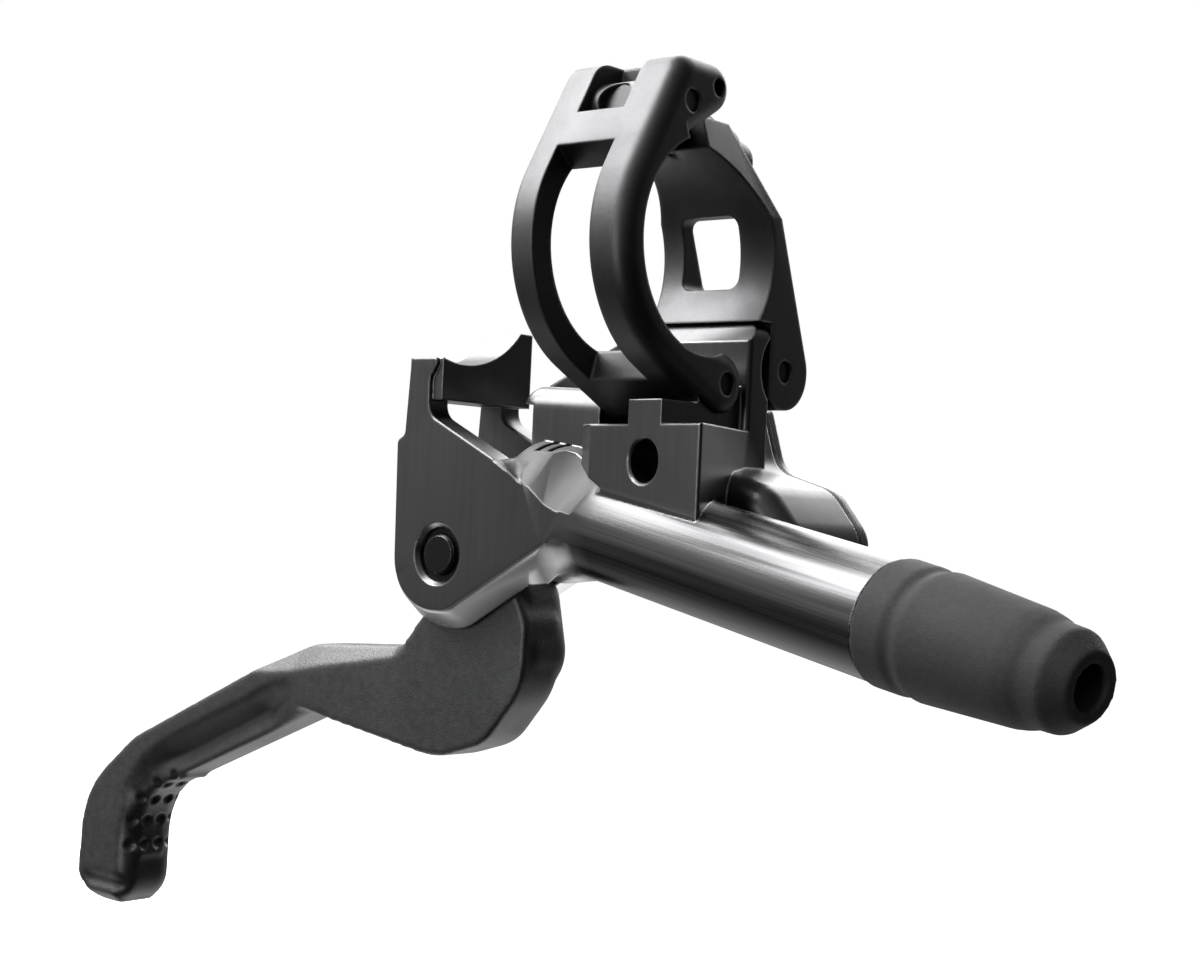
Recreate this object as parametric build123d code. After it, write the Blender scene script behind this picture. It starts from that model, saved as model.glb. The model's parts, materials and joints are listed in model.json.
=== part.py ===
from build123d import *
import math
import os

# Hydraulic brake lever for a flat handlebar, with its hinged bar clamp.
# Millimetres. The origin is on the handlebar's axis, in the middle of the clamp's width.
# +X runs along the bar towards the hose end, +Y along the lever's pivot, +Z from the lever to the bar.

# Handlebar and front clamp band
BAR_R = 11.1                # half of a 22.2 mm handlebar
BAND_WIDTH = 14.6           # both bands, along the bar
BAND_WALL = 2.9             # bore to outside
BAND_EDGE_ROUND = 2.0       # outer edge on the hose side
WINDOW_MIDDLE = -0.84       # both windows, along the bar
FRONT_WINDOW_WIDTH = 7.4
FRONT_WINDOW_ANGLES = (139, 254)    # from +Y, seen along the bar
WINDOW_CORNER = 1.2
SHOULDER_SLOPE = 29.3       # straight face below the nose, degrees off the vertical
NOSE_AT = (0.1, BAR_R + 5.0)    # round end of the nose, (y, z)
NOSE_R = 2.6
NOSE_CORNER = 3.0
NOSE_ROOT = (-4.4, BAR_R - 0.9) # where the nose's underside meets the bore
NOSE_SLOT_WIDTH = 6.0
NOSE_SLOT_FRONT = BAR_R + 1.9      # height of the slot's front end
NOSE_SLOT_BACK = -1.8       # the slot's back end, along +Y
LOCK_HOLE_R = 0.95          # cross hole through the nose's round end
BARREL_NUT_AT = (-4.2, BAR_R + 2.9)    # (y, z)
BARREL_NUT_R = 2.6
BARREL_PIN_R = 1.15
FRONT_HINGE_AT = (3.7, -BAR_R - 2.5)   # (y, z)
HINGE_LUG_R = 3.5
HINGE_PIN_R = 1.2

# Rear clamp band
REAR_HINGE_AT = (BAR_R + 2.9, -11.5)   # (y, z)
REAR_LUG_R = 4.1
REAR_BAND_TOP = (8.4, BAR_R + 3.2)     # top of the straight back, (y, z)
REAR_BAND_NECK = 3.4        # half width at the top
REAR_BAND_FLARE = (4.5, BAR_R + 3.2)   # heights between which the band narrows
REAR_WINDOW_WIDTH = 7.5
REAR_WINDOW_HEIGHT = (-2.9, 4.9)
BOSS_R = 3.4                # bolt boss on the inside
BOSS_HEIGHT = (9.0, BAR_R + 3.2)
BOSS_AT_Y = 7.4
BOLT_FALL = 10.3            # degrees the bolt slopes down towards its head
BOLT_R = 2.0
BOLT_SEAT = 14.9            # distance from the barrel nut to the seat under the head
BOLT_HEAD_R = 3.0
BOLT_SEAT_R = 3.6           # round land under the washer
BOLT_SEAT_DEPTH = 4.0
BOLT_HEAD_HEIGHT = 2.6
BOLT_KEY_R = 1.5
BOLT_TIP = 1.5              # bolt past the barrel nut's middle
WASHER_THICK = 0.6

# Master cylinder
AXIS_AT = (0, 0, -29.7)     # a point on the cylinder's axis
AXIS_TOWARDS = (1, -0.227, -0.176)  # towards the hose
BARREL_R = 5.75
BARREL_END = 36.8           # distances along the axis, from AXIS_AT
DRUM_R = 7.45               # round drum between the ears
DRUM_START = -16.5
DRUM_END = -11.5
DRUM_GROOVES = 2
DRUM_GROOVE_WIDTH = 0.8
DRUM_GROOVE_DEPTH = 0.5
CONE_END = -5.5             # where the drum's taper meets the barrel
BORE_R = 4.0
BORE_END = 25.0
CHANNEL_R = 0.9
SPIGOT_R = 4.4              # hose spigot under the boot
SPIGOT_END = 44.0
PORT_R = 3.0
PORT_DEPTH = 9.0
FEED_HOLE_R = 0.5           # from the reservoir to the bore
FEED_HOLES_AT = (0.0, 6.0)

# Pivot ears, outline in (x, z)
EAR_NEAR = -4.0             # outer faces, along the pivot
EAR_FAR = 11.0
EAR_THICK = 3.1
PIVOT_AT = (-25.2, -32.65)
PIVOT_PIN_R = 2.25
PIVOT_RECESS_R = 2.98
PIVOT_CHAMFER = 0.48
PIVOT_SINK = 0.15           # pin head below the ear's face
PIVOT_CROWN = 0.25          # bevel round the pin's head
PIVOT_PIN_TAIL = 0.5        # pin beyond its clip
PIVOT_CLIP_AT = (EAR_FAR + 0.1, EAR_FAR + 0.9)
PIVOT_CLIP_R = 3.4
PIVOT_CLIP_GRIP = 0.45      # depth of the clip in the pin
PIVOT_CLIP_MOUTH = 2.6
EAR_CORNERS = [             # x, z, corner radius
    (-30.6, -11.0, 0.5),
    (-26.1, -11.0, 0.5),
    (-27.5, -13.4, 1.2),
    (-27.4, -17.3, 2.0),
    (-16.3, -22.6, 4.0),
    (-10.4, -26.6, 3.0),
    (-3.5, -28.3, 0.3),
    (-3.5, -29.6, 0.3),
    (-9.4, -30.7, 6.0),
    (-23.7, -38.9, 4.0),
    (-31.7, -38.9, 6.1),
    (-32.2, -20.2, 0.8),
    (-31.1, -19.6, 0.8),
]
EAR_EASE = 0.28
SHOULDER_BACK = 1.0         # the shoulder runs from here out to the near ear's face
SHOULDER_ROOT = [           # its outline at the back, (x, z)
    (-16.0, -21.2), (-6.0, -21.2), (-1.0, -24.5), (0.5, -31.0), (-13.0, -31.0),
]
SHOULDER_FACE = [           # its outline in the ear's face, (x, z)
    (-17.2, -22.3), (-13.0, -25.2), (-8.2, -27.8), (-3.7, -29.1), (-13.0, -31.0),
]
WEB_LEFT = -31.0            # bar brace between the ears
WEB_RIGHT = -26.0
WEB_BOTTOM = -BAR_R - 4.6
WEB_TOP = -7.2
SADDLE_GAP = 0.45           # bar to everything in the body

# Mount block under the clamp, its front turned to stand parallel to the cylinder
BLOCK_CORNER = (12.2, -7.0)     # front right corner, (x, y)
BLOCK_LEFT = -4.6
BLOCK_TURN = 11.8           # degrees
BLOCK_TOP = -BAR_R - 7.1
BLOCK_FLOOR = -29.5
BLOCK_EASE = 0.3
TONGUE_LEFT = 1.3           # between the front band's lugs
TONGUE_RIGHT = 6.3
TONGUE_TOP = -BAR_R - 4.7
TONGUE_R = 2.9
ARM_FRONT = 7.5             # the arm behind the hinge
ARM_BACK = 11.0
ARM_HALF = 7.3
ARM_EASE = 0.5
ARM_CORNERS = [             # x, z, corner radius
    (-20.5, -13.4, 1.0),
    (-7.0, -6.9, 6.0),
    (7.3, -6.8, 1.6),
    (7.3, -19.0, 0),
    (-20.5, -19.0, 0),
]
REAR_TONGUE_HALF = 2.4
REAR_TONGUE_R = 3.0
SHIFTER_HOLE_AT = (3.8, -22.0)  # (x, z)
SHIFTER_HOLE_R = 2.2
SHIFTER_HOLE_DEPTH = 6.0
SHIFTER_CHAMFER = 0.25

# Reservoir behind the cylinder, outline in (x, z)
TANK_FRONT = 1.5
TANK_BACK = 14.2
TANK_CORNERS = [            # x, z, corner radius
    (-20.0, -13.6, 2.5),
    (4.3, -14.6, 2.0),
    (6.6, -22.0, 3.5),
    (13.6, -24.0, 4.0),
    (19.8, -31.4, 4.0),
    (8.0, -36.5, 5.0),
    (-13.0, -31.5, 4.0),
    (-19.0, -22.0, 4.0),
]
TANK_ROUND = 2.6
TANK_WALL = 1.8
TANK_FLOOR = 8.8            # how near the chamber comes to the cylinder
CAVITY_RIGHT = -17.0        # the lever's room between the ears ends here
DIAPHRAGM_THICK = 0.8
DIAPHRAGM_DISH = 2.0
COVER_THICK = 1.6
COVER_ROUND = 0.8
COVER_SCREW_R = 1.0
COVER_SCREW_HEAD_R = 1.9
COVER_SCREWS_AT = [(-15.5, -17.8), (12.4, -29.2)]
SCREW_LENGTH = 6.0
BLEED_AT = (0.5, -24.5)
BLEED_HEAD_R = 2.6
BLEED_SHANK_R = 1.4

# Lever blade, outline in (x, z)
LEVER_NEAR = -0.6
LEVER_FAR = 7.6
FINGER_REST = (-81.2, -66.2, 8.5)   # round rest for the finger
LEVER_CORNERS = [           # x, z, corner radius
    (-30.6, -40.0, 3.0),
    (-33.4, -43.4, 3.5),
    (-50.3, -44.4, 9.0),
    (-80.8, -58.6, 14.0),
    (-90.7, -66.5, 12.0),
    (-91.2, -80.2, 5.5),
    (-81.3, -80.8, 4.0),
    FINGER_REST,
    (-48.6, -52.3, 4.5),
    (-26.0, -55.2, 7.0),
    (-14.2, -44.6, 5.0),
    (-16.3, -35.0, 3.2),
    (-24.0, -32.0, 0),
]
BLADE_ROUND = 2.3
KNUCKLE_R = 6.6
ARM_LENGTH = 7.4            # pivot to trunnion
TRUNNION_R = 2.0
TRUNNION_BOSS_R = 3.7
YOKE_WALL = 1.8             # lever's cheeks beside the pushrod
YOKE_HUB_R = 4.9
YOKE_FLOOR = -30.5
LEVER_BORE_R = 3.2
LEVER_BUSH_LENGTH = 2.4
DIMPLE_R = 0.75
DIMPLE_DEPTH = 0.4
DIMPLE_ROWS = 5
DIMPLE_COLUMNS = 2
DIMPLE_SPREAD = 2.2         # between columns
DIMPLE_TURN = 21.5          # degrees between rows

# Pieces in the bore
PUSHROD_R = 1.4
PUSHROD_BALL_R = 1.7
PUSHROD_TAIL = 3.2          # behind the trunnion
PISTON_START = -12.5        # outer end at rest
PISTON_LENGTH = 17.0
PISTON_WAIST_R = 3.0
PISTON_CUP_R = 2.7
PISTON_CUP_DEPTH = 3.6
SEAL_WIDTH = 1.6
SEAL_LIP = 0.25
SEAL_SHOULDER = 2.0         # piston material beside each seal
SPRING_WIRE_R = 0.3
SPRING_COIL_R = 3.0
SPRING_TURNS = 6
STOP_RING_THICK = 0.8
STOP_RING_BORE_R = 2.8
STOP_RING_GROOVE = 0.4      # how far the ring reaches into the bore's wall
DUST_SEAL_THICK = 1.6
DUST_SEAL_SINK = 0.4
DUST_SEAL_BORE_R = 3.0

# Hose end
BOOT_START = 36.9
BOOT_R = 5.95
BOOT_GROOVE_AT = 41.2
BOOT_GROOVE_DEPTH = 0.4
BOOT_STEP_AT = 52.6
BOOT_STEP_R = 5.1
BOOT_NOSE_R = 4.5
BOOT_NOSE_AT = 56.8
BOOT_END = 58.8
BOOT_MOUTH_R = 3.0
BOOT_CAVITY_END = 50.2
HOSE_R = 2.0
NUT_ACROSS = 7.2
NUT_HEX_LENGTH = 5.4
OLIVE_LENGTH = 1.6

FAR_OFF = 100.0             # reach of cutters that pass right through

# Fits
RUNNING_FIT = 0.05
SEATED_FIT = 0.02
PIVOT_GAP = 0.3             # beside moving faces
LUG_GAP = 0.3               # beside the clamp's lugs


def along_bar(outline, x0, x1):
    """Extrude an outline drawn in (y, z) from x0 to x1."""
    plane = Plane(origin=(x0, 0, 0), x_dir=(0, 1, 0), z_dir=(1, 0, 0))
    return extrude(plane * outline, amount=x1 - x0)


def along_pivot(outline, y0, y1):
    """Extrude an outline drawn in (x, z) from y0 to y1."""
    plane = Plane(origin=(0, y1, 0), x_dir=(1, 0, 0), z_dir=(0, -1, 0))
    return extrude(plane * outline, amount=y1 - y0)


def upright(outline, z0, z1):
    """Extrude an outline drawn in (x, y) from z0 to z1."""
    return extrude(Plane.XY.offset(z0) * outline, amount=z1 - z0)


def rounded(corners):
    """Closed outline from corners given as (a, b, radius)."""
    points = [(a, b) for a, b, r in corners]
    radii = [r for a, b, r in corners]
    return make_face(FilletPolyline(*points, radius=radii, close=True))


def polygon(*points):
    return make_face(Polyline(*points, close=True))


def disc(centre, radius):
    return Pos(centre[0], centre[1]) * Circle(radius)


def polar(radius, degrees):
    return (radius * math.cos(math.radians(degrees)), radius * math.sin(math.radians(degrees)))


def tangent_line(centre_a, radius_a, centre_b, radius_b):
    """Touch points of the outer tangent that runs clockwise of the line from circle A to B."""
    run = (centre_b[0] - centre_a[0], centre_b[1] - centre_a[1])
    bearing = math.degrees(math.atan2(run[1], run[0]))
    swing = math.degrees(math.acos((radius_a - radius_b) / math.hypot(*run)))
    a = polar(radius_a, bearing - swing)
    b = polar(radius_b, bearing - swing)
    return (centre_a[0] + a[0], centre_a[1] + a[1]), (centre_b[0] + b[0], centre_b[1] + b[1])


def stroke_frame():
    """The cylinder's own frame: x to the far side, y upwards, z towards the hose."""
    along = Vector(AXIS_TOWARDS).normalized()
    level = Vector(-along.Y, along.X, 0).normalized()
    return Plane(origin=AXIS_AT, x_dir=level, z_dir=along)


def bolt_frame():
    """The clamp bolt's frame: z from the barrel nut to the bolt's head."""
    fall = math.radians(BOLT_FALL)
    origin = (WINDOW_MIDDLE, *BARREL_NUT_AT)
    return Plane(origin=origin, x_dir=(1, 0, 0), z_dir=(0, math.cos(fall), -math.sin(fall)))


STROKE = stroke_frame()
BOLT = bolt_frame()
BAND_HALF = BAND_WIDTH / 2
BAR = along_bar(Circle(BAR_R + SADDLE_GAP), -FAR_OFF, FAR_OFF)
TRUNNION_AT = (PIVOT_AT[0], PIVOT_AT[1] + ARM_LENGTH)
LEVER_MIDDLE = (LEVER_NEAR + LEVER_FAR) / 2
COVER_SEAT = TANK_BACK + DIAPHRAGM_THICK


def rod(frame, radius, start, end):
    """Round bar on a frame's z axis."""
    return extrude(frame.offset(start) * Circle(radius), amount=end - start)


def tube(frame, outer, inner, start, end):
    return extrude(frame.offset(start) * (Circle(outer) - Circle(inner)), amount=end - start)


def lathe(frame, points):
    """Solid of revolution about a frame's z axis, from (radius, distance) points."""
    half = Plane(origin=frame.origin, x_dir=frame.x_dir, z_dir=-frame.y_dir)
    outline = make_face(Polyline(*points, close=True))
    return revolve(half * outline, axis=Axis(frame.origin, frame.z_dir), revolution_arc=360)


def cross_pin(centre, radius, x0, x1):
    """Pin along the bar, its centre given in (y, z)."""
    return along_bar(disc(centre, radius), x0, x1)


def window(outline, x0, x1):
    """Cutter for a window, its four corners rounded."""
    cutter = along_bar(outline, x0, x1)
    sides = cutter.edges().filter_by(Axis.X, reverse=True).group_by(SortBy.LENGTH)[-1]
    return fillet(sides, WINDOW_CORNER)


def front_lug_gap():
    """Room between the front band's lugs for the block's tongue."""
    y, z = FRONT_HINGE_AT
    front = y - HINGE_LUG_R - LUG_GAP
    outline = polygon((front, -BAR_R / 2), (FAR_OFF, -BAR_R / 2), (FAR_OFF, -FAR_OFF), (front, -FAR_OFF))
    return along_bar(outline, TONGUE_LEFT - LUG_GAP, TONGUE_RIGHT + LUG_GAP)


def is_outer_edge(edge, radius):
    middle = edge.center()
    return math.hypot(middle.Y, middle.Z) > radius - 0.5 and middle.Y < NOSE_AT[0] + 1.4


def front_clamp_band():
    outer = BAR_R + BAND_WALL
    top = NOSE_AT[1] + NOSE_R
    shoulder = polar(outer, 180 - SHOULDER_SLOPE)
    corner = shoulder[0] + (top - shoulder[1]) * math.tan(math.radians(SHOULDER_SLOPE))
    root, under = tangent_line(NOSE_ROOT, 0, NOSE_AT, NOSE_R)
    low, lug = tangent_line((0, 0), outer, FRONT_HINGE_AT, HINGE_LUG_R)
    nose = rounded([
        (*shoulder, 0), (corner, top, NOSE_CORNER), (NOSE_AT[0], top, 0), (*NOSE_AT, 0),
        (*under, 0), (*root, 0), (0, 0, 0),
    ])
    foot = polygon(low, lug, FRONT_HINGE_AT, (0, 0))
    hinge_ray = (FRONT_HINGE_AT[0] * 2, FRONT_HINGE_AT[1] * 2)
    front_half = polygon((0, 0), shoulder, (-FAR_OFF, shoulder[1]), (-FAR_OFF, -FAR_OFF), hinge_ray)
    ring = Circle(outer) & front_half
    ring = ring + nose + disc(NOSE_AT, NOSE_R) + foot + disc(FRONT_HINGE_AT, HINGE_LUG_R)
    band = along_bar(ring - Circle(BAR_R), -BAND_HALF, BAND_HALF)

    hose_side = band.faces().sort_by(Axis.X)[-1].outer_wire().edges()
    outside = [e for e in hose_side if is_outer_edge(e, outer)]
    band = fillet(outside, BAND_EDGE_ROUND)

    start, end = FRONT_WINDOW_ANGLES
    middle = (start + end) / 2
    inner = BAR_R / 2
    opening = polygon(
        polar(inner, start), polar(FAR_OFF / 3, start), polar(FAR_OFF, middle), polar(FAR_OFF / 3, end),
        polar(inner, end),
    )
    half = FRONT_WINDOW_WIDTH / 2
    band -= window(opening, WINDOW_MIDDLE - half, WINDOW_MIDDLE + half)

    y, z = BARREL_NUT_AT
    half = NOSE_SLOT_WIDTH / 2
    beyond = y - BAND_WIDTH
    above = z + BAND_WIDTH
    slot = polygon(
        (y, NOSE_SLOT_FRONT), (beyond, NOSE_SLOT_FRONT), (beyond, above), (NOSE_SLOT_BACK, above),
        (NOSE_SLOT_BACK, z),
    )
    slot = slot + disc(BARREL_NUT_AT, BARREL_NUT_R + RUNNING_FIT)
    band -= along_bar(slot, WINDOW_MIDDLE - half, WINDOW_MIDDLE + half)
    band -= cross_pin(BARREL_NUT_AT, BARREL_PIN_R + SEATED_FIT, -BAND_HALF, BAND_HALF)
    band -= cross_pin(NOSE_AT, LOCK_HOLE_R, 0, BAND_HALF)
    band -= rod(BOLT, BOLT_R + LUG_GAP, 0, BOLT_SEAT)

    band -= front_lug_gap()
    band -= cross_pin(FRONT_HINGE_AT, HINGE_PIN_R + SEATED_FIT, -BAND_HALF, BAND_HALF)
    return band


def rear_clamp_band():
    top_y, top_z = REAR_BAND_TOP
    back_top, back_low = tangent_line(REAR_HINGE_AT, REAR_LUG_R, REAR_BAND_TOP, 0)
    inner = ARM_BACK + LUG_GAP
    arm_clear = ARM_CORNERS[1][1] + LUG_GAP
    reach = -arm_clear / math.tan(math.asin(-arm_clear / BAR_R))
    back = polygon(
        (0, 0), (top_y * 0.45, top_z), REAR_BAND_TOP, back_top, REAR_HINGE_AT,
        (inner, REAR_HINGE_AT[1]), (inner, arm_clear), (reach, arm_clear),
    )
    lug = disc(REAR_HINGE_AT, REAR_LUG_R)
    band = along_bar(back + lug, -BAND_HALF, BAND_HALF)

    flare_low, flare_high = REAR_BAND_FLARE
    neck_left = WINDOW_MIDDLE - REAR_BAND_NECK
    neck_right = WINDOW_MIDDLE + REAR_BAND_NECK
    front_view = polygon(
        (-BAND_HALF, -FAR_OFF), (BAND_HALF, -FAR_OFF), (BAND_HALF, flare_low), (neck_right, flare_high),
        (neck_left, flare_high), (-BAND_HALF, flare_low),
    )
    band &= along_pivot(front_view, 0, FAR_OFF)
    boss = upright(disc((WINDOW_MIDDLE, BOSS_AT_Y), BOSS_R), *BOSS_HEIGHT)
    seat = rod(BOLT, BOLT_SEAT_R, BOLT_SEAT - BOLT_SEAT_DEPTH, BOLT_SEAT)
    band = band + boss + seat

    half = REAR_WINDOW_WIDTH / 2
    low, high = REAR_WINDOW_HEIGHT
    x = WINDOW_MIDDLE
    opening = rounded([
        (x - half, low, WINDOW_CORNER), (x + half, low, WINDOW_CORNER),
        (x + half, high, WINDOW_CORNER), (x - half, high, WINDOW_CORNER),
    ])
    band -= along_pivot(opening, 0, FAR_OFF)
    band -= along_bar(Circle(BAR_R), -BAND_WIDTH, BAND_WIDTH)
    below_arm = polygon((0, arm_clear), (inner, arm_clear), (inner, -FAR_OFF), (0, -FAR_OFF))
    band -= along_bar(below_arm, -BAND_WIDTH, BAND_WIDTH)
    band -= rod(BOLT, BOLT_R + RUNNING_FIT, 0, BOLT_SEAT + 1)
    band -= rod(BOLT, BOLT_SEAT_R, BOLT_SEAT, 2 * BOLT_SEAT)

    gap = REAR_TONGUE_HALF + LUG_GAP
    lug_slot = Pos(REAR_HINGE_AT) * Rectangle(4 * REAR_LUG_R, 2 * REAR_TONGUE_R + 2 * LUG_GAP)
    band -= along_bar(lug_slot, -gap, gap)
    band -= cross_pin(REAR_HINGE_AT, HINGE_PIN_R + SEATED_FIT, -BAND_HALF, BAND_HALF)
    return band


def ear_plate(y0, y1):
    """One ear, the edges of both faces eased."""
    plate = along_pivot(rounded(EAR_CORNERS), y0, y1)
    rims = [f.outer_wire().edges() for f in plate.faces() if abs(f.normal_at().Y) > 0.99]
    return fillet([e for rim in rims for e in rim], EAR_EASE)


def shoulder():
    """Twisted facets that lead from the near ear's face to the barrel."""
    faces = []
    for y, corners in ((SHOULDER_BACK, SHOULDER_ROOT), (EAR_NEAR, SHOULDER_FACE)):
        plane = Plane(origin=(0, y, 0), x_dir=(1, 0, 0), z_dir=(0, -1, 0))
        faces.append(plane * polygon(*corners))
    return loft(faces, ruled=True)


def block_outline():
    """Mount block seen from above, its front face parallel to the cylinder."""
    x, y = BLOCK_CORNER
    left_front = y + (x - BLOCK_LEFT) * math.tan(math.radians(BLOCK_TURN))
    return polygon(
        (x, y), (ARM_HALF, ARM_FRONT), (ARM_HALF, ARM_BACK), (-ARM_HALF, ARM_BACK),
        (-ARM_HALF, left_front + 2), (BLOCK_LEFT, left_front),
    )


def mount_block():
    block = upright(block_outline(), BLOCK_FLOOR, BLOCK_TOP)
    front_rim = block.faces().sort_by(Axis.Y)[0].edges()
    block = fillet(front_rim.sort_by(Axis.Z)[1:], BLOCK_EASE)
    y, z = FRONT_HINGE_AT
    knuckle = polygon(
        (-20, BLOCK_TOP - 1), (-20, TONGUE_TOP), (y - TONGUE_R - 0.6, TONGUE_TOP), (y - TONGUE_R, z), (y, z),
        (ARM_FRONT + 0.5, z), (ARM_FRONT + 0.5, BLOCK_TOP - 1),
    ) + disc(FRONT_HINGE_AT, TONGUE_R)
    tongue = along_bar(knuckle, TONGUE_LEFT, TONGUE_RIGHT)
    tongue &= upright(block_outline(), BLOCK_TOP - 1, 0)
    arm = along_pivot(rounded(ARM_CORNERS), ARM_FRONT, ARM_BACK)
    front_rim = arm.faces().sort_by(Axis.Y)[0].outer_wire().edges()
    arm = fillet(front_rim.sort_by(Axis.Z)[-5:], ARM_EASE)
    y, z = REAR_HINGE_AT
    root = ARM_BACK - 1
    rear_outline = polygon(
        (root, z + REAR_TONGUE_R), (y, z + REAR_TONGUE_R), (y, z - REAR_TONGUE_R), (root, z - REAR_TONGUE_R),
    ) + disc(REAR_HINGE_AT, REAR_TONGUE_R)
    rear_tongue = along_bar(rear_outline, -REAR_TONGUE_HALF, REAR_TONGUE_HALF)
    return block, tongue, arm, rear_tongue


def lug_pockets():
    """Room for the clamp bands' lugs in the body."""
    half = BAND_HALF + LUG_GAP
    outline = polygon((-BAR_R, BLOCK_TOP), (ARM_FRONT, BLOCK_TOP), (ARM_FRONT, 0), (-BAR_R, 0))
    front = along_bar(outline, -half, FAR_OFF)
    rear = along_bar(disc(REAR_HINGE_AT, REAR_LUG_R + LUG_GAP), -half, FAR_OFF)
    return front + rear


def reservoir_tank():
    outline = rounded(TANK_CORNERS)
    tank = along_pivot(outline, TANK_FRONT, TANK_BACK)
    front_edges = tank.faces().sort_by(Axis.Y)[0].outer_wire().edges()
    return fillet(front_edges, TANK_ROUND)


def tank_chamber():
    outline = offset(rounded(TANK_CORNERS), -TANK_WALL)
    for x, z in COVER_SCREWS_AT:
        outline -= disc((x, z), COVER_SCREW_HEAD_R + 0.6)
    return along_pivot(outline, TANK_FLOOR, TANK_BACK)


def master_cylinder():
    drum = lathe(STROKE, [
        (0, DRUM_START), (DRUM_R, DRUM_START), (DRUM_R, DRUM_END), (BARREL_R, CONE_END), (0, CONE_END),
    ])
    drum -= along_pivot(Rectangle(FAR_OFF, FAR_OFF), EAR_NEAR - FAR_OFF, EAR_NEAR)
    barrel = rod(STROKE, BARREL_R, DRUM_END, BARREL_END)
    spigot = rod(STROKE, SPIGOT_R, BARREL_END - 1, SPIGOT_END)
    web = along_pivot(polygon(
        (WEB_LEFT, WEB_BOTTOM), (WEB_RIGHT, WEB_BOTTOM), (WEB_RIGHT, WEB_TOP), (WEB_LEFT, WEB_TOP),
    ), EAR_NEAR + 0.5, EAR_FAR)
    block, tongue, arm, rear_tongue = mount_block()
    tank = reservoir_tank()
    tank -= lug_pockets()
    cavity = along_pivot(polygon(
        (-60, -60), (CAVITY_RIGHT, -60), (CAVITY_RIGHT, WEB_BOTTOM), (-60, WEB_BOTTOM),
    ), EAR_NEAR + EAR_THICK, EAR_FAR - EAR_THICK)
    body = tank + block + arm + drum + barrel + spigot - cavity
    body += shoulder()
    body += ear_plate(EAR_NEAR, EAR_NEAR + EAR_THICK)
    body += ear_plate(EAR_FAR - EAR_THICK, EAR_FAR)
    body += web
    body = body - lug_pockets() + tongue + rear_tongue
    body -= BAR

    spacing = (DRUM_END - DRUM_START) / (DRUM_GROOVES + 1)
    for i in range(DRUM_GROOVES):
        at = DRUM_START + spacing * (i + 1)
        floor = DRUM_R - DRUM_GROOVE_DEPTH
        half = DRUM_GROOVE_WIDTH / 2
        body -= tube(STROKE, DRUM_R + SEATED_FIT, floor, at - half, at + half) & above_ears()

    body -= tank_chamber()
    body -= rod(STROKE, BORE_R, DRUM_START - 8, BORE_END)
    body -= rod(STROKE, CHANNEL_R, BORE_END - 1, SPIGOT_END)
    body -= rod(STROKE, PORT_R, SPIGOT_END - PORT_DEPTH, SPIGOT_END)
    ring_back = PISTON_START - PIVOT_GAP
    body -= rod(STROKE, BORE_R + STOP_RING_GROOVE, ring_back - STOP_RING_THICK, ring_back)
    for s in FEED_HOLES_AT:
        level = Plane(origin=STROKE.offset(s).origin, x_dir=STROKE.z_dir, z_dir=STROKE.x_dir)
        body -= rod(level, FEED_HOLE_R, BORE_R - 1, TANK_BACK)

    pivot = disc(PIVOT_AT, PIVOT_RECESS_R)
    body -= along_pivot(pivot, EAR_NEAR - 1, EAR_FAR + 1)
    rim = Plane(origin=(PIVOT_AT[0], EAR_NEAR, PIVOT_AT[1]), x_dir=(1, 0, 0), z_dir=(0, 1, 0))
    wide = PIVOT_RECESS_R + PIVOT_CHAMFER
    body -= lathe(rim, [(0, -1), (wide + 1, -1), (PIVOT_RECESS_R, PIVOT_CHAMFER), (0, PIVOT_CHAMFER)])

    hole = shifter_frame()
    wide = SHIFTER_HOLE_R + SHIFTER_CHAMFER
    body -= rod(hole, SHIFTER_HOLE_R, -SHIFTER_HOLE_DEPTH, 5)
    body -= lathe(hole, [(0, 1), (wide + 1, 1), (SHIFTER_HOLE_R, -SHIFTER_CHAMFER), (0, -SHIFTER_CHAMFER)])
    body -= cross_pin(FRONT_HINGE_AT, HINGE_PIN_R + SEATED_FIT, -BAND_HALF, BAND_HALF)
    body -= cross_pin(REAR_HINGE_AT, HINGE_PIN_R + SEATED_FIT, -BAND_HALF, BAND_HALF)
    for x, z in COVER_SCREWS_AT:
        tip = COVER_SEAT + COVER_THICK - SCREW_LENGTH
        body -= along_pivot(disc((x, z), COVER_SCREW_R + SEATED_FIT), tip, TANK_BACK)
    return body


def above_ears():
    """The part of the drum that stands clear of the ears."""
    return along_pivot(Pos(-15, -20) * Rectangle(14, 14), EAR_NEAR + EAR_THICK, EAR_FAR - EAR_THICK)


def shifter_frame():
    """Frame of the threaded hole: z points out of the mount block's front face."""
    x, z = SHIFTER_HOLE_AT
    corner_x, corner_y = BLOCK_CORNER
    turn = math.radians(BLOCK_TURN)
    face_y = corner_y + (corner_x - x) * math.tan(turn)
    along_face = (math.cos(turn), -math.sin(turn), 0)
    outwards = (-math.sin(turn), -math.cos(turn), 0)
    return Plane(origin=(x, face_y, z), x_dir=along_face, z_dir=outwards)


def front_hinge_pin():
    return cross_pin(FRONT_HINGE_AT, HINGE_PIN_R, -BAND_HALF + PIVOT_GAP, BAND_HALF - PIVOT_GAP)


def rear_hinge_pin():
    return cross_pin(REAR_HINGE_AT, HINGE_PIN_R, -BAND_HALF + PIVOT_GAP, BAND_HALF - PIVOT_GAP)


def barrel_nut():
    half = NOSE_SLOT_WIDTH / 2 - SEATED_FIT
    nut = cross_pin(BARREL_NUT_AT, BARREL_NUT_R, WINDOW_MIDDLE - half, WINDOW_MIDDLE + half)
    nut += cross_pin(BARREL_NUT_AT, BARREL_PIN_R, -BAND_HALF + PIVOT_GAP, BAND_HALF - PIVOT_GAP)
    return nut - rod(BOLT, BOLT_R + SEATED_FIT, -BARREL_NUT_R - 1, BARREL_NUT_R + 1)


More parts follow.
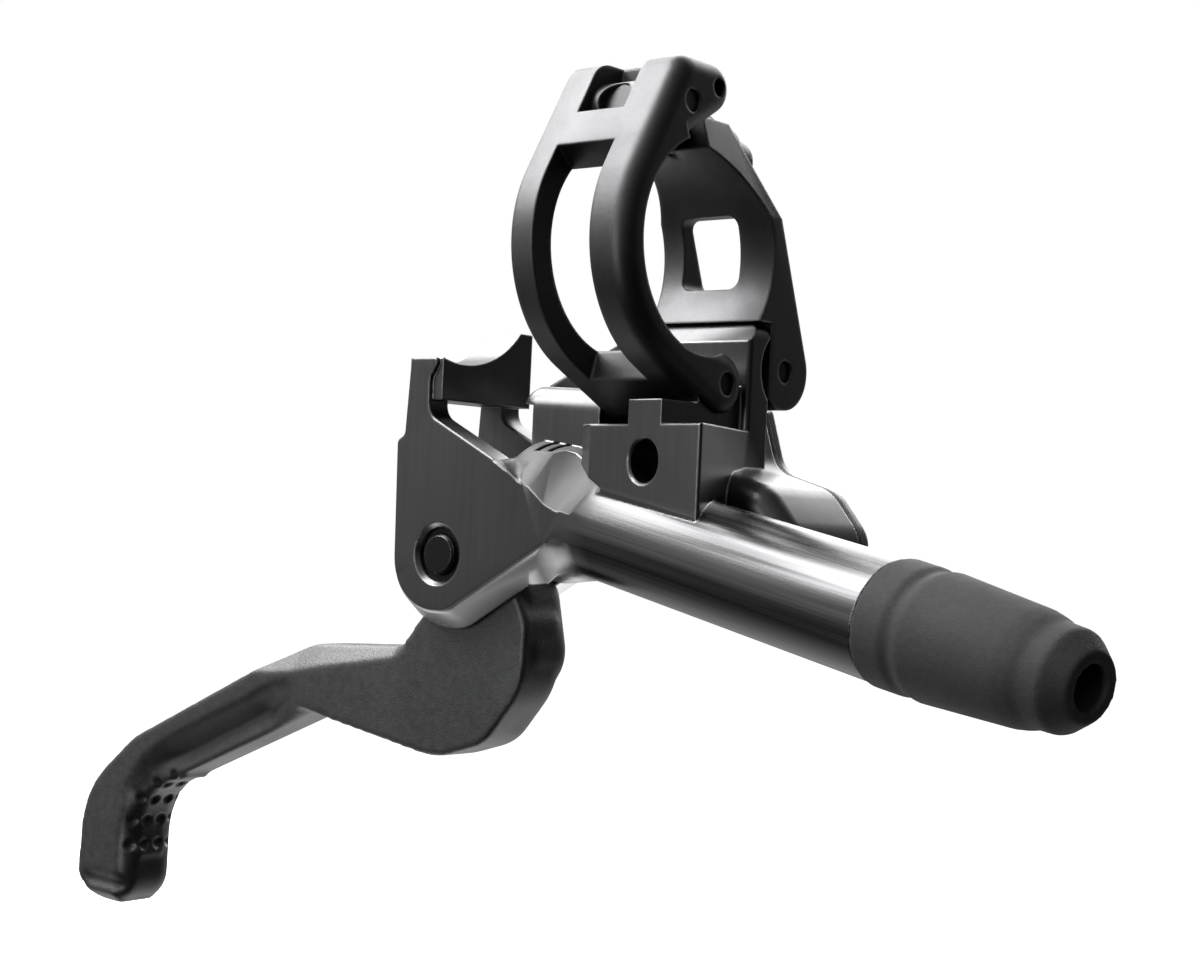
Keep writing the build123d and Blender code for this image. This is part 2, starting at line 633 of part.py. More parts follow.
def clamp_bolt():
    seat = BOLT_SEAT + WASHER_THICK
    bolt = rod(BOLT, BOLT_R, -BOLT_TIP, seat) + rod(BOLT, BOLT_HEAD_R, seat, seat + BOLT_HEAD_HEIGHT)
    key_floor = BOLT.offset(seat + BOLT_HEAD_HEIGHT * 0.45)
    return bolt - extrude(key_floor * RegularPolygon(BOLT_KEY_R, 6), amount=BOLT_HEAD_HEIGHT)


def bolt_washer():
    return tube(BOLT, BOLT_HEAD_R + 0.3, BOLT_R + RUNNING_FIT, BOLT_SEAT, BOLT_SEAT + WASHER_THICK)


def pivot_pin():
    start, end = PIVOT_CLIP_AT
    pin = along_pivot(disc(PIVOT_AT, PIVOT_PIN_R), EAR_NEAR + PIVOT_SINK, end + PIVOT_PIN_TAIL)
    floor = PIVOT_PIN_R - PIVOT_CLIP_GRIP
    groove = along_pivot(disc(PIVOT_AT, 2 * PIVOT_PIN_R) - disc(PIVOT_AT, floor), start, end)
    crown = pin.faces().sort_by(Axis.Y)[0].edges()
    return chamfer(crown, PIVOT_CROWN) - groove


def pivot_clip():
    start, end = PIVOT_CLIP_AT
    inner = PIVOT_PIN_R - PIVOT_CLIP_GRIP + SEATED_FIT
    ring = disc(PIVOT_AT, PIVOT_CLIP_R) - disc(PIVOT_AT, inner)
    mouth = Pos(PIVOT_AT[0], PIVOT_AT[1] - PIVOT_PIN_R) * Rectangle(PIVOT_CLIP_MOUTH, 2 * PIVOT_PIN_R)
    return along_pivot(ring - mouth, start + SEATED_FIT, end - SEATED_FIT)


def ear_bushes():
    ring = disc(PIVOT_AT, PIVOT_RECESS_R - SEATED_FIT) - disc(PIVOT_AT, PIVOT_PIN_R + SEATED_FIT)
    near = along_pivot(ring, EAR_NEAR + 0.8, EAR_NEAR + EAR_THICK)
    far = along_pivot(ring, EAR_FAR - EAR_THICK, EAR_FAR)
    return Compound(children=[near, far])


def lever_bushes():
    ring = disc(PIVOT_AT, LEVER_BORE_R - SEATED_FIT) - disc(PIVOT_AT, PIVOT_PIN_R + RUNNING_FIT)
    near = along_pivot(ring, LEVER_NEAR, LEVER_NEAR + LEVER_BUSH_LENGTH)
    far = along_pivot(ring, LEVER_FAR - LEVER_BUSH_LENGTH, LEVER_FAR)
    return Compound(children=[near, far])


def lever_blade():
    blade = along_pivot(rounded(LEVER_CORNERS), LEVER_NEAR, LEVER_FAR)
    sides = [f for f in blade.faces() if abs(f.normal_at().Y) > 0.99]
    blade = fillet([e for f in sides for e in f.outer_wire().edges()], BLADE_ROUND)
    blade += along_pivot(disc(PIVOT_AT, KNUCKLE_R), LEVER_NEAR, LEVER_FAR)
    arm = make_hull([*disc(PIVOT_AT, TRUNNION_BOSS_R).edges(), *disc(TRUNNION_AT, TRUNNION_BOSS_R).edges()])
    blade += along_pivot(arm, LEVER_NEAR, LEVER_FAR)
    yoke = Pos(PIVOT_AT[0], YOKE_FLOOR + 10) * Rectangle(40, 20) - disc(PIVOT_AT, YOKE_HUB_R)
    blade -= along_pivot(yoke, LEVER_NEAR + YOKE_WALL, LEVER_FAR - YOKE_WALL)
    blade -= along_pivot(disc(TRUNNION_AT, TRUNNION_R + RUNNING_FIT), LEVER_NEAR - 1, LEVER_FAR + 1)
    blade -= along_pivot(disc(PIVOT_AT, LEVER_BORE_R), LEVER_NEAR - 1, LEVER_FAR + 1)
    return blade - finger_dimples()


def finger_rest():
    """Centre and radius of the round rest for the finger, and the bearing of its middle."""
    x, z, radius = FINGER_REST
    corner = LEVER_CORNERS.index(FINGER_REST)
    before = LEVER_CORNERS[corner - 1]
    after = LEVER_CORNERS[corner + 1]
    bearing_in = math.atan2(before[1] - z, before[0] - x)
    bearing_out = math.atan2(after[1] - z, after[0] - x)
    middle = (bearing_in + bearing_out) / 2
    reach = radius / math.sin((bearing_out - bearing_in) / 2)
    centre = (x + reach * math.cos(middle), z + reach * math.sin(middle))
    return centre, radius, math.degrees(middle) + 180


def finger_dimples():
    centre, radius, middle = finger_rest()
    dimples = []
    for row in range(DIMPLE_ROWS):
        turn = middle + DIMPLE_TURN * (row - (DIMPLE_ROWS - 1) / 2)
        x, z = polar(radius, turn)
        across = polar(1, turn)
        for column in range(DIMPLE_COLUMNS):
            y = LEVER_MIDDLE + DIMPLE_SPREAD * (column - (DIMPLE_COLUMNS - 1) / 2)
            frame = Plane(origin=(centre[0] + x, y, centre[1] + z), x_dir=(0, 1, 0), z_dir=(across[0], 0, across[1]))
            dimples.append(rod(frame, DIMPLE_R, -DIMPLE_R, DIMPLE_DEPTH))
    return dimples


def pushrod_frame():
    """Frame on the trunnion: z runs to the ball in the piston's cup."""
    start = Vector(TRUNNION_AT[0], LEVER_MIDDLE, TRUNNION_AT[1])
    ball = STROKE.offset(PISTON_START + PISTON_CUP_DEPTH - PUSHROD_BALL_R - 0.1).origin
    return Plane(origin=start, x_dir=(0, 1, 0), z_dir=(ball - start).normalized()), (ball - start).length


def trunnion():
    barrel = along_pivot(disc(TRUNNION_AT, TRUNNION_R), LEVER_NEAR + 0.3, LEVER_FAR - 0.3)
    frame, reach = pushrod_frame()
    return barrel - rod(frame, PUSHROD_R + SEATED_FIT, -5, 5)


def pushrod():
    frame, reach = pushrod_frame()
    shaft = rod(frame, PUSHROD_R, -PUSHROD_TAIL, reach)
    key = extrude(frame.offset(-PUSHROD_TAIL - 1) * RegularPolygon(0.8, 6), amount=2.4)
    return shaft + frame.offset(reach) * Sphere(PUSHROD_BALL_R) - key


def seal_places():
    front = PISTON_START + PISTON_LENGTH - SEAL_SHOULDER - SEAL_WIDTH
    back = PISTON_START + PISTON_CUP_DEPTH + SEAL_SHOULDER
    return {"primary": front, "secondary": back}


def piston():
    outer = BORE_R - RUNNING_FIT
    body = rod(STROKE, outer, PISTON_START, PISTON_START + PISTON_LENGTH)
    body -= rod(STROKE, PISTON_CUP_R, PISTON_START - 1, PISTON_START + PISTON_CUP_DEPTH)
    for at in seal_places().values():
        body -= tube(STROKE, outer + 1, PISTON_WAIST_R, at, at + SEAL_WIDTH)
    return body


def piston_seal(name):
    at = seal_places()[name] + SEATED_FIT
    width = SEAL_WIDTH - 2 * SEATED_FIT
    inner = PISTON_WAIST_R + SEATED_FIT
    outer = BORE_R - SEATED_FIT
    lip = outer - SEAL_LIP
    return lathe(STROKE, [
        (inner, at), (lip, at), (outer, at + width * 0.6), (outer, at + width), (inner, at + width),
    ])


def return_spring():
    start = PISTON_START + PISTON_LENGTH + SPRING_WIRE_R + SEATED_FIT
    length = BORE_END - SPRING_WIRE_R - SEATED_FIT - start
    path = Helix(length / SPRING_TURNS, length, SPRING_COIL_R)
    wire = sweep(Plane(origin=path @ 0, z_dir=path % 0) * Circle(SPRING_WIRE_R), path=path)
    return STROKE.offset(start).location * wire


def stop_ring():
    back = PISTON_START - PIVOT_GAP
    front = back - STOP_RING_THICK + SEATED_FIT
    return tube(STROKE, BORE_R + STOP_RING_GROOVE - SEATED_FIT, STOP_RING_BORE_R, front, back - SEATED_FIT)


def dust_seal():
    start = DRUM_START + DUST_SEAL_SINK
    return tube(STROKE, BORE_R - SEATED_FIT, DUST_SEAL_BORE_R, start, start + DUST_SEAL_THICK)


def reservoir_cover():
    plate = along_pivot(rounded(TANK_CORNERS), COVER_SEAT, COVER_SEAT + COVER_THICK)
    plate = fillet(plate.faces().sort_by(Axis.Y)[-1].outer_wire().edges(), COVER_ROUND)
    plate -= lug_pockets()
    for x, z in COVER_SCREWS_AT:
        plate -= along_pivot(disc((x, z), COVER_SCREW_R + RUNNING_FIT), COVER_SEAT - 1, COVER_SEAT + 9)
        plate -= along_pivot(disc((x, z), COVER_SCREW_HEAD_R + RUNNING_FIT), COVER_SEAT + 0.8, COVER_SEAT + 9)
    plate -= along_pivot(disc(BLEED_AT, BLEED_SHANK_R + SEATED_FIT), COVER_SEAT - 1, COVER_SEAT + 9)
    return plate


def reservoir_diaphragm():
    sheet = along_pivot(rounded(TANK_CORNERS), TANK_BACK, COVER_SEAT)
    dish = offset(rounded(TANK_CORNERS), -TANK_WALL - 2.5)
    sheet += along_pivot(dish, TANK_BACK - DIAPHRAGM_DISH, COVER_SEAT)
    sheet -= along_pivot(offset(dish, -DIAPHRAGM_THICK), TANK_BACK - DIAPHRAGM_DISH + DIAPHRAGM_THICK, COVER_SEAT)
    sheet -= lug_pockets()
    for x, z in COVER_SCREWS_AT:
        sheet -= along_pivot(disc((x, z), COVER_SCREW_HEAD_R + 0.9), TANK_BACK - DIAPHRAGM_DISH - 1, COVER_SEAT + 1)
    return sheet


def cover_screws():
    screws = []
    top = COVER_SEAT + COVER_THICK
    for place in COVER_SCREWS_AT:
        screw = along_pivot(disc(place, COVER_SCREW_R), top - SCREW_LENGTH, top - 0.8)
        screw += along_pivot(disc(place, COVER_SCREW_HEAD_R), top - 0.8, top + 0.5)
        screw -= along_pivot(Pos(place) * RegularPolygon(0.9, 6), top - 0.3, top + 1)
        screws.append(screw)
    return Compound(children=screws)


def bleed_screw():
    top = COVER_SEAT + COVER_THICK
    screw = along_pivot(disc(BLEED_AT, BLEED_SHANK_R), COVER_SEAT, top + 0.6)
    screw += along_pivot(disc(BLEED_AT, BLEED_HEAD_R), top + 0.6, top + 1.8)
    return screw - along_pivot(Pos(BLEED_AT) * RegularPolygon(1.2, 6), top + 0.9, top + 3)


def bleed_seal():
    top = COVER_SEAT + COVER_THICK
    return along_pivot(disc(BLEED_AT, BLEED_HEAD_R - 0.3) - disc(BLEED_AT, BLEED_SHANK_R + SEATED_FIT), top, top + 0.6)


def hose_boot():
    inner = SPIGOT_R + RUNNING_FIT
    outline = [
        (inner, BOOT_START), (BOOT_R, BOOT_START), (BOOT_R - 0.05, BOOT_GROOVE_AT - 0.9),
        (BOOT_R - BOOT_GROOVE_DEPTH, BOOT_GROOVE_AT), (BOOT_R - 0.05, BOOT_GROOVE_AT + 1.2),
        (BOOT_STEP_R + 0.1, BOOT_STEP_AT), (BOOT_STEP_R - 0.15, BOOT_STEP_AT + 1.2),
        (BOOT_NOSE_R + 0.1, BOOT_STEP_AT + 2.2),
        (BOOT_NOSE_R, BOOT_NOSE_AT), (BOOT_MOUTH_R, BOOT_END), (HOSE_R, BOOT_END), (HOSE_R, BOOT_CAVITY_END + 2),
        (inner, BOOT_CAVITY_END),
    ]
    return lathe(STROKE, outline)


def compression_nut():
    flats = RegularPolygon(NUT_ACROSS / 2, 6, major_radius=False)
    hexagon = extrude(STROKE.offset(SPIGOT_END + SEATED_FIT) * flats, amount=NUT_HEX_LENGTH)
    floor = SPIGOT_END - PORT_DEPTH
    shank = rod(STROKE, PORT_R - SEATED_FIT, floor + 2 * OLIVE_LENGTH + SEATED_FIT, SPIGOT_END + SEATED_FIT)
    return hexagon + shank - rod(STROKE, HOSE_R + RUNNING_FIT, floor, BOOT_END)


def hose_olive():
    start = SPIGOT_END - PORT_DEPTH + OLIVE_LENGTH
    return tube(STROKE, PORT_R - RUNNING_FIT, HOSE_R + RUNNING_FIT, start, start + OLIVE_LENGTH)


PIECES = {
    "master_cylinder": master_cylinder,
    "front_clamp_band": front_clamp_band,
    "rear_clamp_band": rear_clamp_band,
    "front_hinge_pin": front_hinge_pin,
    "rear_hinge_pin": rear_hinge_pin,
    "barrel_nut": barrel_nut,
    "clamp_bolt": clamp_bolt,
    "bolt_washer": bolt_washer,
    "pivot_pin": pivot_pin,
    "pivot_clip": pivot_clip,
    "ear_bushes": ear_bushes,
    "lever_blade": lever_blade,
    "lever_bushes": lever_bushes,
    "trunnion": trunnion,
    "pushrod": pushrod,
    "piston": piston,
    "primary_seal": lambda: piston_seal("primary"),
    "secondary_seal": lambda: piston_seal("secondary"),
    "return_spring": return_spring,
    "stop_ring": stop_ring,
    "dust_seal": dust_seal,
    "reservoir_diaphragm": reservoir_diaphragm,
    "reservoir_cover": reservoir_cover,
    "cover_screws": cover_screws,
    "bleed_screw": bleed_screw,
    "bleed_seal": bleed_seal,
    "hose_boot": hose_boot,
    "compression_nut": compression_nut,
    "hose_olive": hose_olive,
}

os.makedirs("parts", exist_ok=True)
for name, make in PIECES.items():
    export_step(make(), f"parts/{name}.step")
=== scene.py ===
import json
import math

import bpy
import numpy as np
from mathutils import Matrix, Vector

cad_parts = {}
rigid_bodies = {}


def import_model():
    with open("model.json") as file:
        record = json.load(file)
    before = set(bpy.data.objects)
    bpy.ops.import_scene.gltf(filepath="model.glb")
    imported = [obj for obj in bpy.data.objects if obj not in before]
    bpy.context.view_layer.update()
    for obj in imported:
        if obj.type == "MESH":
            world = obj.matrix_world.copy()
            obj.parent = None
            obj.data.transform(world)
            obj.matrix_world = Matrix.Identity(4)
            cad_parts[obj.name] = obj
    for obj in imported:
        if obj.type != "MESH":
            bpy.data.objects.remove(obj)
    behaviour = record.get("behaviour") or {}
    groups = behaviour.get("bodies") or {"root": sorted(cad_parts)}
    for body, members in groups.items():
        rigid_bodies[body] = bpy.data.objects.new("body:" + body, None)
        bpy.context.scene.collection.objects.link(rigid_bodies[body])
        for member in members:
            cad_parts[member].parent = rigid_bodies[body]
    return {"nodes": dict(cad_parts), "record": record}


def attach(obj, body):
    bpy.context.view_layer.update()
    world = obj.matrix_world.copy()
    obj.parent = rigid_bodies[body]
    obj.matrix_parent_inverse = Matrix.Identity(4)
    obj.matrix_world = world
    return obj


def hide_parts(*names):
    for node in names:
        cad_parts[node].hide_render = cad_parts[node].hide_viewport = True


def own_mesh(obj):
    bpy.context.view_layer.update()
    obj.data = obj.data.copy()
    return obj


bl_info = {
    "name": "Brake Lever Dressing",
    "version": (1, 0, 0),
    "blender": (4, 5, 0),
    "location": "3D View > Sidebar > Brake Lever",
    "description": "Gives a bicycle brake lever its surfaces, materials and studio",
    "category": "Object",
}

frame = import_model()

MM = 0.001

# The master cylinder's own frame
CYLINDER_POINT = Vector((0.0, 0.0, -0.0297))
CYLINDER_ALONG = Vector((1.0, -0.227, -0.176)).normalized()
CYLINDER_LEVEL = Vector((0.227, 1.0, 0.0)).normalized()
CYLINDER_UP = CYLINDER_ALONG.cross(CYLINDER_LEVEL)
BARREL_SKIN = (6.1, 6.5)        # out from the axis, where its polish fades out
BARREL_START = (-6.0, -2.0)     # along the cylinder, where its polish fades in
BARREL_SHADE = (-2.4, 0.6)      # up from the axis, from the dark half to the light half

# The photograph's camera
CAMERA_PLACE = Vector((0.1272, -0.1617, -0.0278))
CAMERA_RIGHT = Vector((0.7718, 0.6341, 0.0463))
CAMERA_DOWN = Vector((0.0239, 0.0438, -0.9989))
CAMERA_LENS = 60.0
CAMERA_SENSOR = 36.0

SMOOTH_ANGLE = math.radians(28)

# How much lighter or darker than the body's colour its brushing and its painted light and shade are
BRUSHED_LIGHT = 1.45
# painted reflection of light from below, on the ears' down-facing flanks
FLANK_PAINTED_REFLECTION = 8.5
# painted shade in the shoulder's hollow
HOLLOW_PAINTED_SHADE = 0.45
# painted highlight along the edges
EDGE_PAINTED_HIGHLIGHT = 3.0
# painted highlight on the barrel's upper half and painted shade on its lower half, streaked by the
# turning
BARREL_PAINTED_HIGHLIGHT = (0.55, 1.75)
BARREL_PAINTED_SHADE = (0.10, 0.36)

# The near ear and the shoulder beside it, in mm
EAR_NEAR = -4.0
EAR_THICK = 3.1
EAR_PIVOT = (-25.2, -32.65)
EAR_ROUND = 5.8             # nothing nearer to the pivot is moved
FLANK_SLOPE = 2.0
FLANK_TOP = -29.0
HOLLOW_LINE = [
    (-17.6, -22.3), (-15.0, -23.7), (-12.2, -25.05), (-10.1, -26.7),
    (-8.5, -27.8), (-6.5, -28.2), (-3.5, -28.5),
]
HOLLOW_TOP = [
    (-16.6, -20.4), (-14.0, -20.4), (-11.5, -20.6), (-9.4, -21.2),
    (-7.2, -22.4), (-4.9, -23.6), (-2.6, -24.8),
]
HOLLOW_OUT = (0.0, 0.0, 0.0, 0.0, -0.3, -0.8, -2.4)     # shift in Y, to run out on the barrel
HOLLOW_SLOPE = 0.75
HOLLOW_CLEARANCE = 5.0      # how far the cutter stands out in front of the ear
SHOULDER_LOW = (-17.0, -8.5, -30.0)
SHOULDER_HIGH = (-0.5, -1.5, -20.0)
SHOULDER_CUTS = 7
SHOULDER_SMOOTHING = 24

# The blade's forms, (x, z) in mm on its near face
BLADE_NEAR = -0.6
BLADE_FAR = 7.6
BLADE_INSIDE = 3.0          # splits what belongs to the near face from the rest
PLATE_FAR = 6.6
PLATE_DRAFT = 1.8
PLATE_DRAFT_FROM = -31.0
PLATE_CORNERS = [           # x, z, corner radius
    (-28.6, -37.4, 0), (-30.6, -40.0, 3.0), (-33.4, -43.4, 3.5), (-50.3, -44.4, 9.0),
    (-80.8, -58.6, 14.0), (-90.6, -66.5, 12.0), (-91.0, -77.4, 1.5), (-88.2, -80.4, 3.5),
    (-83.5, -80.5, 0), (-84.5, -76.0, 0), (-87.0, -69.0, 6.0), (-79.0, -61.0, 8.0),
    (-56.5, -50.8, 0), (-43.0, -53.05, 2.0), (-27.5, -55.4, 10.0), (-20.4, -53.2, 6.0),
    (-15.0, -46.6, 8.0), (-14.9, -39.4, 4.0), (-17.2, -35.3, 0), (-21.5, -36.9, 0),
]
TOP_FACET_LINE = [
    (-32.6, -43.3), (-34.5, -44.7), (-39.9, -45.6), (-47.7, -46.9),
    (-51.5, -47.7), (-55.5, -48.2), (-59.5, -48.4),
]
TOP_FACET_SLOPE = 0.85
GROOVE_RIDGE = [
    (-49.0, -51.4), (-54.2, -53.4), (-58.9, -55.7), (-63.7, -57.8), (-68.6, -60.0),
    (-73.0, -62.0), (-76.2, -63.8), (-78.7, -66.4), (-80.1, -69.2),
]
GROOVE_WALL = (4.3, 2.7)    # where the steep wall begins above the ridge, and its width
GROOVE_FLOOR = (1.6, 3.2)   # the same for the floor, which rises to the ridge
TIP_HOLLOW_Z = -77.8
TIP_HOLLOW_DEPTH = 0.7
TIP_HOLLOW_HALF = 0.9
TIP_ROLL_Z = -78.3
TIP_ROLL_LENGTH = 2.1
TIP_ROLL_DEPTH = 1.7
REST_CENTRE = (-72.6, -71.8)
REST_RADIUS = 8.5
REST_BEARING = 143.0
REST_HALF_TURN = 56.0
REST_FADE = 7.0
DIMPLE_ROWS = 5
DIMPLE_TURN = 21.6
DIMPLE_PLACES = (0.2, 2.4, 4.6, 6.8)
DIMPLE_RADIUS = 0.85

# Sizes of the even skins, in mm, and how many rounds of smoothing they get
BLADE_FIRST_SKIN = 0.3
BLADE_SKIN, BLADE_SMOOTHING = 0.26, 7
BOOT_SKIN, BOOT_SMOOTHING = 0.25, 4

# Way from the object (left, up, behind), distance, size, share of the key's power, long side
LIGHTS = {
    "key_light": ((0.60, 0.78, -0.06), 0.55, 0.36, 1.0, None),
    "back_light": ((0.40, 0.75, 0.55), 0.55, 0.34, 0.5, None),
    "left_fill": ((1.0, 0.04, 0.0), 0.5, 0.22, 0.015, 0.3),
    "back_fill": ((-0.35, 0.55, 0.90), 0.60, 0.50, 0.60, None),
    "edge_strip": ((0.60, 0.10, -0.75), 0.6, 0.06, 0.16, 0.4),
}
LIT_POINT = Vector((-0.01, 0.0, -0.03))
FLOOR_SIZE = 6.0
FLOOR_HEIGHT = -0.16

# Pieces in the clamp that are blasted black like it
LIKE_THE_CLAMP = {"barrel_nut": "clamp_anodised", "clamp_bolt": "clamp_anodised"}


class BrakeLeverSettings(bpy.types.PropertyGroup):
    """Sizes and colours a user would change."""
    body_colour: bpy.props.FloatVectorProperty(
        name="Body Colour", description="Gunmetal grey of the machined body",
        subtype="COLOR", min=0, max=1, default=(0.105, 0.105, 0.107))
    clamp_colour: bpy.props.FloatVectorProperty(
        name="Clamp Colour", description="Black of the blasted clamp bands",
        subtype="COLOR", min=0, max=1, default=(0.082, 0.082, 0.084))
    blade_colour: bpy.props.FloatVectorProperty(
        name="Blade Colour", description="Charcoal of the lever blade",
        subtype="COLOR", min=0, max=1, default=(0.0105, 0.0108, 0.0112))
    boot_colour: bpy.props.FloatVectorProperty(
        name="Boot Colour", description="Dark grey of the rubber boot",
        subtype="COLOR", min=0, max=1, default=(0.030, 0.030, 0.0315))
    edge_radius: bpy.props.FloatProperty(
        name="Edge Radius", description="How round the machined edges look",
        subtype="DISTANCE", unit="LENGTH", min=0, max=0.002, default=0.0003)
    groove_depth: bpy.props.FloatProperty(
        name="Groove Depth", description="Depth of the hollow along the blade",
        subtype="DISTANCE", unit="LENGTH", min=0, max=0.003, default=0.0024)
    dimple_depth: bpy.props.FloatProperty(
        name="Dimple Depth", description="Depth of the dimples in the finger rest",
        subtype="DISTANCE", unit="LENGTH", min=0, max=0.001, default=0.0005)
    key_power: bpy.props.FloatProperty(
        name="Key Light", description="Power of the large soft light",
        subtype="POWER", unit="POWER", min=0, max=100, default=4.8)


# Node helpers

def node(tree, kind, **settings):
    made = tree.nodes.new(kind)
    for key, value in settings.items():
        setattr(made, key, value)
    return made


def feed(tree, target, source):
    """Link a socket to an input, or set the input's value."""
    if isinstance(source, bpy.types.NodeSocket):
        tree.links.new(source, target)
    else:
        target.default_value = source


def math_node(tree, operation, a, b=0.0, clamp=False):
    made = node(tree, "ShaderNodeMath", operation=operation, use_clamp=clamp)
    feed(tree, made.inputs[0], a)
    feed(tree, made.inputs[1], b)
    return made.outputs[0]


def fade(tree, value, span, to_low=0.0, to_high=1.0):
    """A mask that changes between two places, given in mm."""
    return map_node(tree, value, span[0] * MM, span[1] * MM, to_low, to_high)


def dot_node(tree, vector, direction):
    made = node(tree, "ShaderNodeVectorMath", operation="DOT_PRODUCT")
    feed(tree, made.inputs[0], vector)
    feed(tree, made.inputs[1], direction)
    return made.outputs["Value"]


def map_node(tree, value, low, high, to_low=0.0, to_high=1.0):
    made = node(tree, "ShaderNodeMapRange", clamp=True)
    for socket, setting in zip(made.inputs, (value, low, high, to_low, to_high)):
        feed(tree, socket, setting)
    return made.outputs["Result"]


def noise_node(tree, vector, scale, detail=3.0, rough=0.55):
    made = node(tree, "ShaderNodeTexNoise")
    feed(tree, made.inputs["Vector"], vector)
    feed(tree, made.inputs["Scale"], scale)
    feed(tree, made.inputs["Detail"], detail)
    feed(tree, made.inputs["Roughness"], rough)
    return made.outputs[0]


def mix_node(tree, factor, a, b):
    made = node(tree, "ShaderNodeMix", data_type="RGBA")
    feed(tree, made.inputs[0], factor)
    for socket, value in ((made.inputs[6], a), (made.inputs[7], b)):
        feed(tree, socket, value if isinstance(value, bpy.types.NodeSocket) else (*value[:3], 1.0))
    return made.outputs[2]


def mix_values(tree, factor, a, b):
    made = node(tree, "ShaderNodeMix", data_type="FLOAT")
    for socket, value in ((made.inputs[0], factor), (made.inputs[2], a), (made.inputs[3], b)):
        feed(tree, socket, value)
    return made.outputs[0]


def times(colour, factor):
    """A colour made lighter or darker."""
    return [min(1.0, c * factor) for c in colour]


def new_group(name, inputs, outputs):
    tree = bpy.data.node_groups.new(name, "ShaderNodeTree")
    for label, kind, value in inputs:
        socket = tree.interface.new_socket(name=label, in_out="INPUT", socket_type=kind)
        if value is not None:
            socket.default_value = value
    for label, kind in outputs:
        tree.interface.new_socket(name=label, in_out="OUTPUT", socket_type=kind)
    return tree, tree.nodes.new("NodeGroupInput"), tree.nodes.new("NodeGroupOutput")


def edge_catch_group():
    """Rounds the shading of edges, and masks them, so that they catch the light."""
    found = bpy.data.node_groups.get("Edge Catch")
    if found:
        return found
    tree, inside, outside = new_group(
        "Edge Catch", [("Radius", "NodeSocketFloat", 0.0003), ("Gain", "NodeSocketFloat", 6.0)],
        [("Mask", "NodeSocketFloat"), ("Normal", "NodeSocketVector")])
    bevel = node(tree, "ShaderNodeBevel", samples=6)
    feed(tree, bevel.inputs["Radius"], inside.outputs["Radius"])
    geometry = node(tree, "ShaderNodeNewGeometry")
    made = node(tree, "ShaderNodeVectorMath", operation="DOT_PRODUCT")
    feed(tree, made.inputs[0], bevel.outputs["Normal"])
    feed(tree, made.inputs[1], geometry.outputs["Normal"])
    turned = math_node(tree, "SUBTRACT", 1.0, made.outputs["Value"])
    mask = math_node(tree, "MULTIPLY", turned, inside.outputs["Gain"], clamp=True)
    feed(tree, outside.inputs["Mask"], mask)
    feed(tree, outside.inputs["Normal"], bevel.outputs["Normal"])
    return tree


def grain_group():
    """Fine grain of a blasted, moulded or rubber surface."""
    found = bpy.data.node_groups.get("Fine Grain")
    if found:
        return found
    tree, inside, outside = new_group(
        "Fine Grain", [("Vector", "NodeSocketVector", None), ("Scale", "NodeSocketFloat", 4000.0)],
        [("Grain", "NodeSocketFloat"), ("Mottle", "NodeSocketFloat")])
    fine = noise_node(tree, inside.outputs["Vector"], inside.outputs["Scale"], 4.0, 0.7)
    coarse_scale = math_node(tree, "MULTIPLY", inside.outputs["Scale"], 0.33)
    coarse = noise_node(tree, inside.outputs["Vector"], coarse_scale, 5.0, 0.72)
    feed(tree, outside.inputs["Grain"], fine)
    feed(tree, outside.inputs["Mottle"], map_node(tree, coarse, 0.32, 0.68))
    return tree


def smudge_group():
    """Broad, faint change of sheen from handling and dust."""
    found = bpy.data.node_groups.get("Handling Smudge")
    if found:
        return found
    tree, inside, outside = new_group(
        "Handling Smudge", [("Vector", "NodeSocketVector", None)], [("Smudge", "NodeSocketFloat")])
    broad = noise_node(tree, inside.outputs["Vector"], 90.0, 4.0, 0.6)
    feed(tree, outside.inputs["Smudge"], map_node(tree, broad, 0.35, 0.65))
    return tree


def streak_group():
    """Fine lines left by turning and brushing, long in Z."""
    found = bpy.data.node_groups.get("Tool Streaks")
    if found:
        return found
    inputs = [("Vector", "NodeSocketVector", None), ("Scale", "NodeSocketFloat", 2500.0),
              ("Length", "NodeSocketFloat", 40.0)]
    tree, inside, outside = new_group("Tool Streaks", inputs, [("Streak", "NodeSocketFloat")])
    stretch = node(tree, "ShaderNodeCombineXYZ")
    ratio = math_node(tree, "DIVIDE", 1.0, inside.outputs["Length"])
    feed(tree, stretch.inputs[0], 1.0)
    feed(tree, stretch.inputs[1], 1.0)
    feed(tree, stretch.inputs[2], ratio)
    made = node(tree, "ShaderNodeVectorMath", operation="MULTIPLY")
    feed(tree, made.inputs[0], inside.outputs["Vector"])
    feed(tree, made.inputs[1], stretch.outputs[0])
    lines = noise_node(tree, made.outputs[0], inside.outputs["Scale"], 3.0, 0.6)
    feed(tree, outside.inputs["Streak"], map_node(tree, lines, 0.3, 0.7))
    return tree


